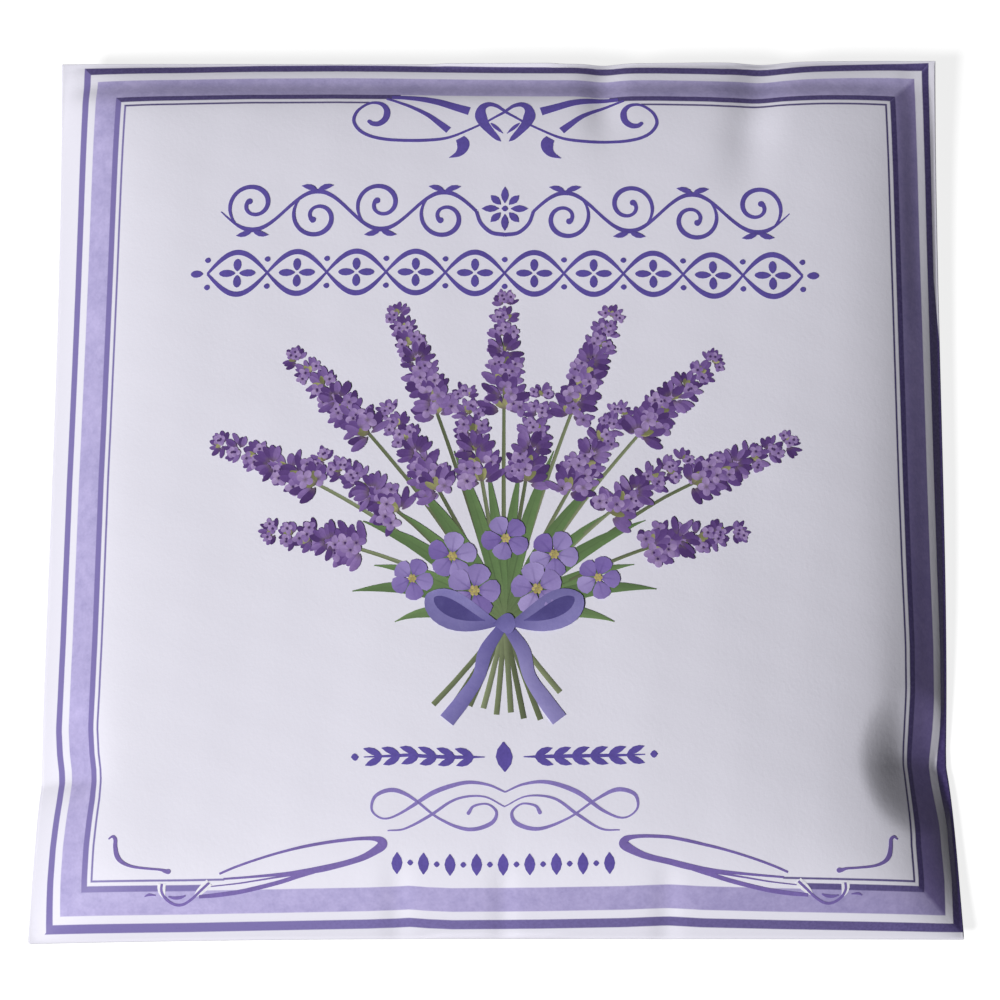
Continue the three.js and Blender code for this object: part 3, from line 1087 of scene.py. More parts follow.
    def film(self, name: str, node: str, place: Rectangle, ply: Surface, material: Material) -> None:
        """Builds a film of glue that lies on a ply, drawn in with it.

        Args:
            name: The film's name.
            node: The CAD node that it stands for.
            place: Its lowest and highest u, then its lowest and highest v.
            ply: Height of the ply's face over flat positions.
            material: The glue's material.
        """
        left, right, low, high = place
        noses = self.thin_nose, self.thin_nose
        across, along = Lines.spread(left, right, 0.5, 1.3, 4.0, noses), Lines.spread(low, high, 0.5, 1.0, 4.0, noses)
        glue = self.form.glue
        film = self.sheet(name, across, along, lambda u, v: ply(u, v) + self.form.clearance + glue, glue, material,
                          "dried_adhesive")
        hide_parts(node)

    def flap(self, material: Material) -> None:
        """Builds the flap turned up over the back, with its sides standing out past the folds.

        Args:
            material: The plain paper.
        """
        form, end = self.form, self.form.half - self.tuck
        across = Lines.spread(-end, end, 0.4, 1.3, 8.0, (self.cut_nose, self.cut_nose))
        along = Lines.spread(-end, form.flap_line, 0.4, 0.9, 5.0, (self.thin_nose, self.cut_nose))

        def slanted(u: Array, v: Array) -> Array:
            """Lines of equal v, tilted so that the last one follows the kink line."""
            share = (v + end) / (form.flap_line + end)
            return v + (form.kink_line(u) - form.flap_line) * share

        flap = self.sheet("turned_up_flap", across, along,
                          lambda u, v: form.back_outer(u, slanted(u, v)) - form.stack + form.gauge, form.gauge,
                          material, "plain_paper")
        points = np.empty(len(flap.data.vertices) * 3, dtype=np.float32)
        flap.data.vertices.foreach_get("co", points)
        points = points.reshape(-1, 3).astype(float) / MM
        u, v = points[:, 0], slanted(points[:, 0], points[:, 1])
        points[:, 0] = u - self.flap_place(u, v) * np.exp(-(form.half + u) / self.flap_overhang_taper)
        points[:, 1] = v
        flap.data.vertices.foreach_set("co", (points * MM).astype(np.float32).ravel())
        flap.data.update()
        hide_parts("bottom_flap")


@dataclass(frozen=True)
class Filling:
    """The CAD's own bed of grains and flakes, which only get their materials."""

    def dress(self) -> None:
        """Gives the bed of grains and the flakes their materials."""
        fine = Grains("fine_grains_matt", 0.7, (0.30, 0.22, 0.12), (0.62, 0.50, 0.32), 0.3).material()
        coarse = Grains("layered_flake", 0.5, (0.42, 0.30, 0.14), (0.74, 0.60, 0.36), 0.12).material()
        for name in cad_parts:
            if name == "grain_bed":
                self._assign(name, fine)
            elif name.startswith("vermiculite_flake"):
                self._assign(name, coarse)

    @staticmethod
    def _assign(name: str, material: Material) -> None:
        """Puts a material into all of a node's slots.

        Args:
            name: The node's name.
            material: The material.
        """
        obj = bpy.data.objects[name]
        for place in obj.material_slots:
            place.material = material
        if not obj.material_slots:
            obj.data.materials.append(material)
        log.info("%s: %s", name, material.name)


class End(Enum):
    """How a pen stroke ends."""

    ROUND = "round"
    BLUNT = "blunt"


@dataclass(frozen=True)
class Stroke:
    """A pen stroke of the print: points (p, q, width) along its middle, in print millimetres."""

    points: tuple[tuple[float, float, float], ...]
    end: End = End.BLUNT

    def mirrored(self) -> "Stroke":
        """The same stroke on the print's other side."""
        return Stroke(tuple((-p, q, width) for p, q, width in self.points), self.end)

    def path(self, steps: int = 8) -> tuple[Array, Array]:
        """The stroke's middle line and width.

        A Catmull-Rom curve through the points, of places and widths alike. A round end goes on as half an ellipse.

        Args:
            steps: Points on the curve per run between two given points.

        Returns:
            Places, one a row, and widths.
        """
        given = np.array(self.points, dtype=float)
        padded = np.concatenate([2 * given[:1] - given[1:2], given, 2 * given[-1:] - given[-2:-1]])
        place = np.linspace(0.0, len(given) - 1.0, steps * (len(given) - 1) + 1)
        run = np.minimum(place.astype(int), len(given) - 2)
        t = (place - run)[:, None]
        before, first, second, after = (padded[run + k] for k in range(4))
        curve = 0.5 * (2 * first + (second - before) * t + (2 * before - 5 * first + 4 * second - after) * t**2
                       + (3 * first - before - 3 * second + after) * t**3)
        if self.end is End.ROUND:
            step = curve[-1, :2] - curve[-2, :2]
            step = step / np.linalg.norm(step) * curve[-1, 2] / 2
            share = np.sin(np.linspace(0.0, math.pi / 2, 6))[1:, None]
            cap = np.concatenate([curve[-1, :2] + step * share, curve[-1, 2] * np.sqrt(1.0 - share**2)], axis=1)
            curve = np.concatenate([curve, cap])
        return curve[:, :2], np.maximum(curve[:, 2], 0.03)


class Outline(Enum):
    """The outline of a printed petal or leaf, as (lean, fullness).

    Its width along the length goes as 4x(1-x) to the power of fullness, with x the share of the length to the power
    of lean: a lean above 1 puts the widest place beyond the middle.
    """

    BUD = (1.15, 0.55)
    PETAL = (1.7, 0.60)
    LEAF = (0.8, 0.95)
    LENS = (1.0, 1.0)


@dataclass(frozen=True)
class Petals:
    """Many petals: arrays of the same length, in print millimetres and radians."""

    root: Array
    angle: Array
    length: Array
    width: Array
    bend: Array
    tone: Array

    @staticmethod
    def of(root: Any, angle: Any, length: Any, width: Any, bend: Any = 0.0, tone: Any = 0.5) -> "Petals":
        """Petals from values that are spread to one common count.

        Args:
            root: Pairs (p, q) where they start, in the last axis.
            angle: Which way they point.
            length: Their lengths.
            width: Their widths.
            bend: How much they turn on the way.
            tone: Their tones, from 0 to 1.

        Returns:
            The petals, one a row.
        """
        root = np.asarray(root, dtype=float)
        parts = np.broadcast_arrays(root[..., 0], root[..., 1], angle, length, width, bend, tone)
        p, q, *rest = (part.astype(float).ravel() for part in parts)
        return Petals(np.stack([p, q], axis=1), *rest)

    @staticmethod
    def joined(groups: Sequence["Petals"]) -> "Petals":
        """All petals of several groups, in their order."""
        return Petals(*(np.concatenate([getattr(group, field.name) for group in groups]) for field in fields(Petals)))

    def mirrored(self) -> "Petals":
        """The same petals on the print's other side."""
        return Petals(self.root * [-1.0, 1.0], math.pi - self.angle, self.length, self.width, -self.bend, self.tone)

    def both_sides(self) -> "Petals":
        """These petals and their mirror images."""
        return Petals.joined([self, self.mirrored()])


@dataclass(frozen=True)
class InkPress:
    """Lays flat shapes of ink on the printed face, each as a closed film.

    Lift is the lowest film's height, order one step up for what lies on another, and sink how far films reach down.
    """

    form: EnvelopeForm
    layout: PrintLayout
    lift: float = 0.035
    order: float = 0.003
    orders: int = 90
    sink: float = 0.03
    tip_share: float = 0.08

    RING_BAKE = np.array([0.06, 0.36, 0.66, 0.80, 0.94])

    def on_face(self, place: Array, lift: Number) -> Array:
        """Points above the printed face, for print positions in the last axis."""
        return self.form.front(*self.layout.flat(place[..., 0], place[..., 1]), lift)

    @staticmethod
    def _quads(ring: Array, inner_axes: int = 0) -> Array:
        """The four corners of each face of a grid: its last two axes, before any inner ones, run along and around."""
        low, high, rest = slice(None, -1), slice(1, None), (slice(None),) * inner_axes
        places = (low, low), (high, low), (high, high), (low, high)
        return np.stack([ring[(..., *place, *rest)] for place in places], axis=ring.ndim - inner_axes)

    @staticmethod
    def _ends(ring: Array) -> Array:
        """The corners of the faces that close each shape's two ends: its rows are in the second axis."""
        return np.stack([ring[:, 0, :-1], ring[:, -1, :-1][:, ::-1]], axis=1)

    def petals(self, name: str, petals: Petals, outline: Outline, material: Material,
               first_order: float = 0.0, step: float = 0.5, rows: int = 7) -> None:
        """Makes one piece of many petals.

        A petal has a ring of four points in each row along its bent middle line: right, middle and left on its face,
        and one below. The rows at its ends are small and closed.

        Args:
            name: The piece's name.
            petals: The petals, the later ones on top.
            outline: Their outline.
            material: Their paint.
            first_order: How many steps the first petal is raised.
            step: How much of a step each next petal is higher; after 90 they start again.
            rows: Rows along a petal.
        """
        count = len(petals.angle)
        along = (1.0 - np.cos(np.linspace(0.0, math.pi, rows))) / 2
        lean, fullness = outline.value
        x = along**lean
        half_width = petals.width[:, None] / 2 * np.maximum((4 * x * (1 - x))**fullness, self.tip_share)
        turn = petals.angle[:, None] + petals.bend[:, None] * along / 2
        reach = petals.length[:, None] * along
        middle = petals.root[:, None] + np.stack([reach * np.cos(turn), reach * np.sin(turn)], axis=-1)
        heading = petals.angle[:, None] + petals.bend[:, None] * along
        left = np.stack([-np.sin(heading), np.cos(heading)], axis=-1) * half_width[..., None]
        place = middle[:, :, None] + left[:, :, None] * np.array([-1.0, 0.0, 1.0, 0.0])[:, None]
        order = first_order + step * (np.arange(count) % self.orders)
        lift = np.where(np.arange(4) < 3, self.lift + self.order * order[:, None, None], -self.sink)
        points = self.on_face(place, np.broadcast_to(lift, place.shape[:3]))
        ring = np.arange(count * rows * 4).reshape(count, rows, 4)
        ring = np.concatenate([ring, ring[..., :1]], axis=2)
        cells = math.ceil(math.sqrt(count))
        cell = np.stack(np.divmod(np.arange(count), cells)[::-1], axis=-1)[:, None, None]
        unrolled = np.stack(np.broadcast_arrays(self.RING_BAKE, 0.08 + 0.84 * along[:, None]), axis=-1)
        baked = (cell + unrolled) / cells
        paint = np.stack(np.broadcast_arrays(np.array([0.0, 0.5, 1.0, 0.5, 0.0]), along[:, None]), axis=-1)
        pairs = {"OFBake": baked, "paint": np.broadcast_to(paint, baked.shape)}
        maps = {title: [self._quads(pair, 1), self._ends(pair)] for title, pair in pairs.items()}
        faces = [self._quads(ring).reshape(-1, 4), self._ends(ring).reshape(-1, 4)]
        Meshes.piece(name, points.reshape(-1, 3), faces, material, "printed_paper", maps,
                     np.repeat(petals.tone, rows * 4))

    def strokes(self, name: str, strokes: Sequence[Stroke], material: Material,
                first_order: float = 0.0, tone: float = 0.5) -> None:
        """Makes one piece of several strokes.

        A stroke is a flat strip: five points across its upper face and five across its lower one, carried along the
        path, with its ends closed.

        Args:
            name: The piece's name.
            strokes: The strokes, the later ones on top.
            material: Their ink.
            first_order: How many steps the first stroke is raised.
            tone: The middle of their tones, which differ a little from stroke to stroke.
        """
        across = np.linspace(-1.0, 1.0, 5)
        columns = 2 * len(across)
        points, sides, ends, tones = [], [], [], []
        maps: dict[str, tuple[list, list]] = {"OFBake": ([], []), "paint": ([], [])}
        start = 0
        for number, stroke in enumerate(strokes):
            middle, width = stroke.path()
            rows = len(width)
            along = np.gradient(middle, axis=0)
            along /= np.linalg.norm(along, axis=1, keepdims=True)
            left = np.stack([-along[:, 1], along[:, 0]], axis=1)
            place = middle[:, None] + left[:, None] * (across[:, None] * width[:, None, None] / 2)
            raised = self.lift + self.order * (first_order + number)
            ring = np.concatenate([self.on_face(place, raised), self.on_face(place, -self.sink)[:, ::-1]], axis=1)
            around = start + np.arange(rows * columns).reshape(rows, columns)
            around = np.concatenate([around, around[:, :1]], axis=1)
            points.append(ring.reshape(-1, 3))
            sides.append(self._quads(around).reshape(-1, 4))
            ends.append(self._ends(around[None])[0])
            tones.append(np.full(rows * columns, tone + 0.3 * math.sin(2.4 * number)))
            x = {"OFBake": np.linspace(0.0, 1.0, columns + 1),
                 "paint": np.concatenate([across + 1, across[::-1] + 1, [0.0]]) / 2}
            y = {"OFBake": (number + np.linspace(0.06, 0.94, rows)) / len(strokes), "paint": np.linspace(0, 1, rows)}
            for title, (side_pairs, end_pairs) in maps.items():
                pairs = np.stack(np.meshgrid(x[title], y[title]), axis=-1)
                side_pairs.append(self._quads(pairs, 1).reshape(-1, 4, 2))
                end_pairs.append(self._ends(pairs[None])[0])
            start += rows * columns
        joined = {title: [np.concatenate(blocks) for blocks in pair] for title, pair in maps.items()}
        faces = [np.concatenate(sides), np.concatenate(ends)]
        Meshes.piece(name, np.concatenate(points), faces, material, "printed_paper", joined, np.concatenate(tones))


@dataclass(frozen=True)
class BorderScrolls:
    """The scrolls that grow out of the border's inner rules: a heart at the top and a long loop in each lower corner.

    Those of the corners are the left one's, and the heart's are its left half with what crosses over.
    """

    press: InkPress
    heart: Stroke = Stroke((
        (-0.5, 43.0, 0.06), (-1.05, 43.5, 0.65), (-1.95, 44.5, 0.95), (-2.7, 45.5, 1.25), (-3.1, 46.5, 1.5),
        (-3.1, 47.3, 1.2), (-2.75, 47.95, 0.9), (-2.0, 48.28, 0.65), (-1.1, 48.05, 0.5), (-0.4, 47.55, 0.42),
        (0.3, 47.0, 0.36), (1.3, 46.4, 0.3), (2.5, 45.65, 0.28), (3.6, 45.1, 0.28), (5.0, 44.4, 0.3),
        (6.8, 43.6, 0.34), (8.5, 43.2, 0.4), (11.0, 43.0, 0.42), (13.5, 43.0, 0.4), (15.5, 43.15, 0.42),
        (17.3, 43.6, 0.42), (18.6, 44.4, 0.42), (19.3, 45.6, 0.42), (19.05, 46.8, 0.4), (18.2, 47.75, 0.36),
        (17.1, 48.3, 0.36), (16.0, 48.2, 0.5), (15.3, 47.6, 0.68), (15.1, 46.8, 0.82), (15.35, 45.9, 0.8),
        (16.1, 45.3, 0.72), (16.9, 45.3, 0.62), (17.35, 45.6, 0.5)), End.ROUND)
    upper_swash: Stroke = Stroke((
        (-14.5, 49.2, 0.5), (-12.5, 49.12, 0.6), (-10.5, 48.9, 0.75), (-8.5, 48.5, 0.9), (-6.5, 47.85, 1.0),
        (-4.6, 47.25, 1.15)))
    lower_swash: Stroke = Stroke((
        (-15.2, 48.95, 0.3), (-13.5, 48.35, 0.35), (-11.5, 47.5, 0.45), (-9.7, 46.5, 0.6), (-8.3, 45.4, 0.8),
        (-7.2, 44.5, 0.95)))
    comma_leaf: Stroke = Stroke((
        (-5.75, 43.4, 1.2), (-5.35, 42.7, 1.6), (-5.45, 41.9, 1.35), (-6.0, 41.2, 0.8), (-7.1, 40.68, 0.05)))
    small_leaf: Stroke = Stroke(((-1.85, 45.55, 0.1), (-1.45, 45.2, 0.42), (-0.9, 44.7, 0.42), (-0.25, 44.1, 0.05)))
    loop: Stroke = Stroke((
        (-32.7, -48.3, 0.24), (-30.0, -48.15, 0.26), (-27.0, -47.95, 0.35), (-25.0, -47.8, 0.45),
        (-23.0, -47.6, 0.65), (-21.0, -47.3, 0.75), (-18.5, -46.75, 0.68), (-16.5, -46.15, 0.75),
        (-15.0, -45.4, 0.95), (-14.15, -44.75, 1.15), (-14.35, -44.2, 0.85), (-15.2, -43.95, 0.5),
        (-17.0, -43.92, 0.4), (-20.0, -44.2, 0.38), (-23.0, -44.65, 0.36), (-26.0, -45.3, 0.3),
        (-29.0, -46.15, 0.28), (-31.5, -47.0, 0.28), (-33.2, -47.7, 0.26)))
    middle_strand: Stroke = Stroke((
        (-34.2, -49.15, 0.12), (-31.0, -48.85, 0.15), (-28.5, -48.5, 0.18), (-26.0, -48.15, 0.22),
        (-24.2, -47.9, 0.3)))
    lower_strand: Stroke = Stroke((
        (-35.6, -50.3, 0.4), (-33.5, -50.15, 0.5), (-31.0, -49.85, 0.5), (-28.5, -49.35, 0.5), (-26.0, -48.75, 0.5),
        (-24.0, -48.15, 0.5), (-22.0, -47.6, 0.5)))
    hanging_loop: Stroke = Stroke((
        (-39.95, -48.75, 0.28), (-40.0, -49.6, 0.3), (-39.5, -50.5, 0.32), (-38.5, -51.15, 0.32),
        (-37.5, -51.15, 0.32), (-36.4, -50.5, 0.3), (-35.4, -49.6, 0.3), (-34.4, -48.72, 0.3)))
    loop_outlines: tuple[Stroke, ...] = (
        Stroke(((-39.95, -48.72, 0.95), (-40.0, -49.25, 0.95), (-39.92, -49.8, 0.75), (-39.7, -50.3, 0.35))),
        Stroke(((-34.35, -48.68, 0.95), (-35.0, -49.25, 0.95), (-35.6, -49.8, 0.75), (-36.0, -50.15, 0.35))))
    dashes: tuple[Stroke, ...] = (
        Stroke(((-39.2, -50.25, 0.15), (-38.5, -50.4, 0.36), (-37.8, -50.35, 0.36), (-37.2, -50.15, 0.15))),
        Stroke(((-42.0, -50.2, 0.1), (-41.5, -50.0, 0.28), (-40.7, -50.08, 0.1))))
    curl: Stroke = Stroke((
        (-46.6, -43.5, 0.15), (-46.15, -43.2, 0.3), (-45.78, -43.55, 0.42), (-45.7, -44.4, 0.48),
        (-45.4, -45.5, 0.55), (-44.7, -46.25, 0.42), (-43.4, -46.75, 0.3), (-41.5, -47.0, 0.26),
        (-40.2, -47.12, 0.28), (-39.6, -47.3, 0.45), (-39.25, -47.35, 0.6)), End.ROUND)

    def build(self) -> None:
        """Prints the top scroll, and in both lower corners the paper that shows round a loop and the scroll."""
        ink = PrintInk("scroll_ink").material()
        light = PrintInk("corner_scroll_ink", (0.16, 0.115, 0.335)).material()
        bare = PrintInk("paper_white", (0.72, 0.71, 0.78), 0.5).material()
        top = [self.heart, self.upper_swash, self.lower_swash, self.comma_leaf, self.small_leaf]
        self.press.strokes("top_scroll", [*top, *map(Stroke.mirrored, top)], ink)
        outlines = list(self.loop_outlines)
        corner = [self.loop, self.middle_strand, self.lower_strand, self.hanging_loop, *self.dashes, self.curl]
        for side in ("left", "right"):
            if side == "right":
                outlines, corner = (list(map(Stroke.mirrored, strokes)) for strokes in (outlines, corner))
            self.press.strokes(f"corner_loop_outlines_{side}", outlines, bare)
            self.press.strokes(f"corner_scroll_{side}", corner, light, first_order=4)


@dataclass(frozen=True)
class Borders:
    """Rows of ornament above and below the picture."""

    press: InkPress
    half_wave: float = 8.0
    wave_height: float = 2.5
    scroll_middle: float = 33.5
    scroll_start: float = 3.6
    spiral_start: float = 51.0
    spiral_turn: float = 450.0
    spiral_radius: float = 3.3
    spiral_shrink: float = 2.65
    lobes: int = 4
    link: float = 7.4
    links: int = 10
    chain_middle: float = 25.4
    chain_height: float = 2.7
    spray_middle: float = -34.4
    beads_middle: float = -46.9

    def running_scroll(self) -> list[Stroke]:
        """A wave from the middle to the right, with a spiral curled up in each lobe.

        The wave is a sine. Each spiral starts on it and winds 450 degrees inwards about a point just past the wave's
        middle line.

        Returns:
            The right half's strokes.
        """
        end = self.scroll_start + self.lobes * self.half_wave
        p = np.linspace(self.scroll_start, end, 8 * self.lobes + 1)
        phase = (p - self.scroll_start) / self.half_wave * math.pi
        width = np.interp(np.abs(np.cos(phase)), [0.0, 1.0], [0.62, 0.40])
        width = width * np.interp(p, [end - 3.0, end], [1.0, 0.3])
        strokes = [Stroke(tuple(zip(p, self.scroll_middle + self.wave_height * np.sin(phase), width)))]
        share = np.linspace(0.0, 1.0, 26)
        turn = np.radians(self.spiral_start - self.spiral_turn * share)
        radius = self.spiral_radius - self.spiral_shrink * share**0.85
        width = np.interp(share, [0.0, 0.1, 0.4, 0.75, 0.92, 1.0], [0.2, 0.45, 0.62, 0.42, 0.5, 0.8])
        for lobe in range(self.lobes):
            side = 1.0 - 2.0 * (lobe % 2)
            p = self.scroll_start + (lobe + 0.5) * self.half_wave + radius * np.cos(turn)
            q = self.scroll_middle + side * (radius * np.sin(turn) - 0.85)
            strokes.append(Stroke(tuple(zip(p, q, width)), End.ROUND))
        root = ((0.0, -3.1, 0.5), (1.7, -2.8, 0.48), (3.0, -1.6, 0.45), (3.6, 0.0, 0.42))
        strokes.append(Stroke(tuple((p, q + self.scroll_middle, width) for p, q, width in root)))
        return strokes

    def scroll_leaves(self) -> Petals:
        """A rosette in the running scroll's middle, and a pair of leaves on the back of each lobe."""
        around = np.arange(8) * math.pi / 4
        out = np.stack([np.cos(around), np.sin(around)], axis=-1)
        rosette = np.array([0.0, self.scroll_middle + 0.35]) + 0.75 * out
        leaves = [Petals.of(rosette, around, np.where(np.arange(8) % 2, 1.75, 2.15), 0.95),
                  Petals.of((-0.4, self.scroll_middle + 0.35), 0.0, 0.8, 0.8)]
        for lobe in range(self.lobes):
            side = 1.0 - 2.0 * (lobe % 2)
            p = self.scroll_start + (lobe + 0.5) * self.half_wave
            root = (p, self.scroll_middle + side * (self.wave_height + 0.1))
            spread = side * np.radians([32.0, 148.0])
            leaves.append(Petals.of(root, spread, 2.1, 0.75, side * np.array([-0.5, 0.5])).both_sides())
        return Petals.joined(leaves)

    def chain(self) -> tuple[list[Stroke], Petals]:
        """Two sines that cross again and again, with a four-petalled flower in each eye and dots at each crossing.

        Returns:
            The strokes, and the flowers with the dots.
        """
        half = self.link * self.links / 2
        p = np.linspace(-half, half, 8 * self.links + 1)
        wave = np.sin((p + half) / self.link * math.pi)
        width = 0.30 + 0.38 * np.abs(wave)
        strokes = [Stroke(tuple(zip(p, self.chain_middle + side * self.chain_height * wave, width)))
                   for side in (1.0, -1.0)]
        knots = np.array([(place * self.link - half, self.chain_middle) for place in range(self.links + 1)])
        eyes = knots[:-1] + (self.link / 2, 0.0)
        petals = [Petals.of(eyes[:, None] + 0.25 * np.array([(1, 0), (0, 1), (-1, 0), (0, -1)]),
                            np.arange(4) * math.pi / 2, [2.0, 1.6, 2.0, 1.6], [0.95, 1.0, 0.95, 1.0])]
        dots = knots[:, None] + np.array([(-0.36, 1.75), (-0.36, -1.75)])
        petals.append(Petals.of(dots, 0.0, 0.72, 0.72))
        ends = np.array([(half + 0.55, self.chain_middle), (-half - 0.55, self.chain_middle)])
        petals.append(Petals.of(ends, [0.0, math.pi], 1.5, 0.95))
        return strokes, Petals.joined(petals)

    def spray(self) -> tuple[list[Stroke], Petals]:
        """A lozenge between two leafy twigs.

        Returns:
            The twigs and all leaves.
        """
        twig = Stroke(tuple((p, self.spray_middle, width) for p, width in (
            (2.3, 0.12), (5.0, 0.4), (9.0, 0.42), (13.0, 0.34), (16.6, 0.12))))
        places = np.linspace(3.6, 14.4, 6)[:, None]
        root = np.stack(np.broadcast_arrays(places, np.full((1, 2), self.spray_middle)), axis=-1)
        pairs = Petals.of(root, np.radians([36.0, -36.0]), 2.35, 0.85, [-0.4, 0.4])
        tip = Petals.of((17.2, self.spray_middle), 0.0, 0.9, 0.9)
        lozenge = Petals.of((0.0, self.spray_middle - 1.75), math.pi / 2, 3.5, 2.0)
        return [twig, twig.mirrored()], Petals.joined([pairs.both_sides(), tip.both_sides(), lozenge])

    def flourish(self) -> list[Stroke]:
        """A large calligraphic knot of thin and swelling loops, alike on both sides."""
        outer = Stroke((
            (0.0, -38.5, 0.2), (2.2, -37.6, 0.3), (5.0, -37.4, 0.45), (8.5, -38.6, 0.55), (11.6, -40.8, 0.35),
            (14.0, -41.7, 0.22), (15.6, -40.7, 0.25), (15.3, -39.0, 0.42), (13.2, -38.4, 0.5), (10.6, -39.6, 0.32),
            (7.6, -41.6, 0.28), (4.2, -42.8, 0.42), (1.6, -42.2, 0.5), (0.9, -40.9, 0.34), (2.0, -39.9, 0.22),
            (3.6, -40.1, 0.3), (4.2, -40.9, 0.46)), End.ROUND)
        inner = Stroke((
            (0.0, -40.2, 0.16), (2.6, -39.0, 0.2), (5.8, -39.3, 0.3), (8.6, -41.2, 0.36), (11.4, -42.9, 0.25),
            (13.6, -43.1, 0.15)))
        return [outer, inner, outer.mirrored(), inner.mirrored()]

    def beads(self) -> Petals:
        """A row of upright lozenges with dots between."""
        lozenges = np.stack([np.linspace(-12.4, 12.4, 9), np.full(9, self.beads_middle - 1.25)], axis=1)
        dots = np.stack([np.linspace(-10.85, 10.85, 8) - 0.35, np.full(8, self.beads_middle)], axis=1)
        return Petals.joined([Petals.of(lozenges, math.pi / 2, 2.5, 1.3), Petals.of(dots, 0.0, 0.7, 0.7)])

    def build(self) -> None:
        """Prints all rows."""
        ink = PrintInk("row_ink").material()
        pale = PrintInk("flourish_ink", (0.21, 0.165, 0.42)).material()
        half = self.running_scroll()
        self.press.strokes("running_scroll", [*half, *map(Stroke.mirrored, half)], ink)
        self.press.petals("running_scroll_leaves", self.scroll_leaves(), Outline.LENS, ink, first_order=14.0)
        strokes, flowers = self.chain()
        self.press.strokes("chain", strokes, ink)
        self.press.petals("chain_flowers", flowers, Outline.BUD, ink, first_order=4.0, step=0.1)
        strokes, leaves = self.spray()
        self.press.strokes("spray_twigs", strokes, ink)
        self.press.petals("spray_leaves", leaves, Outline.LENS, ink, first_order=4.0, step=0.1)
        self.press.strokes("flourish", self.flourish(), pale)
        self.press.petals("beads", self.beads(), Outline.LENS, ink, step=0.1)


@dataclass(frozen=True)
class Sprig:
    """One stem with its flower spike: its lean from upright in degrees, its length and the spike's."""

    lean: float
    reach: float
    spike: float
    droop: float = 0.45

    def line(self, tie: tuple[float, float], share: Array) -> tuple[Array, Array]:
        """Places and headings along the stem, which bends outwards evenly.

        Args:
            tie: Where the bunch is tied.
            share: Shares of the way from the tie to the spike's tip.

        Returns:
            Places (p, q) in the last axis, and headings in radians.
        """
        bend = -self.droop * math.radians(self.lean)
        start = math.radians(90.0 - self.lean) - bend / 2
        turn = start + bend * share / 2
        reach = self.reach * share
        place = np.stack([tie[0] + reach * np.cos(turn), tie[1] + reach * np.sin(turn)], axis=-1)
        return place, start + bend * share

    def stem(self, tie: tuple[float, float]) -> Stroke:
        """The stem, up into its spike."""
        share = np.linspace(0.0, 1.0 - 0.35 * self.spike / self.reach, 12)
        place, _ = self.line(tie, share)
        return Stroke(tuple(zip(place[:, 0], place[:, 1], np.linspace(0.62, 0.3, 12))))

    def flowers(self, tie: tuple[float, float], rng: np.random.Generator) -> Petals:
        """The spike: whorls of buds, calyces and open flowers, from the tip down, narrower towards the tip.

        Args:
            tie: Where the bunch is tied.
            rng: Source of the small differences.

        Returns:
            The petals, in the order in which they lie on each other.
        """
        whorls = int(round(self.spike / 1.75))
        height = np.linspace(1.0, 0.0, whorls)**1.1
        share = 1.0 - self.spike / self.reach * (1.0 - height)
        place, heading = self.line(tie, share)
        scale = 1.0 - 0.42 * height
        groups = []
        for center, aim, size in zip(place, heading, scale):
            spread = np.radians(np.linspace(-108.0, 108.0, 9)) + rng.normal(0.0, 0.12, 9)
            spread = spread[np.argsort(np.abs(spread))]
            out = np.stack([np.cos(aim + spread), np.sin(aim + spread)], axis=-1)
            root = center + size * rng.uniform(0.3, 0.9, (9, 1)) * out
            groups.append(Petals.of(root, aim + 0.9 * spread, size * rng.uniform(1.9, 2.7, 9),
                                    size * rng.uniform(0.85, 1.15, 9), rng.normal(0.0, 0.25, 9) - 0.3 * spread,
                                    rng.uniform(0.02, 0.34, 9)))
            spread = rng.uniform(-1.0, 1.0, 3)
            groups.append(Petals.of(center, aim + spread, size * rng.uniform(1.3, 1.9, 3), size * 0.75, 0.0,
                                    rng.uniform(0.66, 1.0, 3)))
            spread = rng.uniform(-1.7, 1.7, 3)
            middle = center + size * rng.uniform(0.7, 2.1, (3, 1)) * np.stack(
                [np.cos(aim + spread), np.sin(aim + spread)], axis=-1)
            turn = rng.uniform(0.0, 1.5, (3, 1)) + np.arange(4) * math.pi / 2
            groups.append(Petals.of(middle[:, None], turn, size * rng.uniform(0.95, 1.3, (3, 4)), size * 0.95, 0.0,
                                    rng.uniform(0.32, 0.47, (3, 4))))
            groups.append(Petals.of(middle - (0.16, 0.0), 0.0, 0.32, 0.32, 0.0, 0.0))
        return Petals.joined(groups)


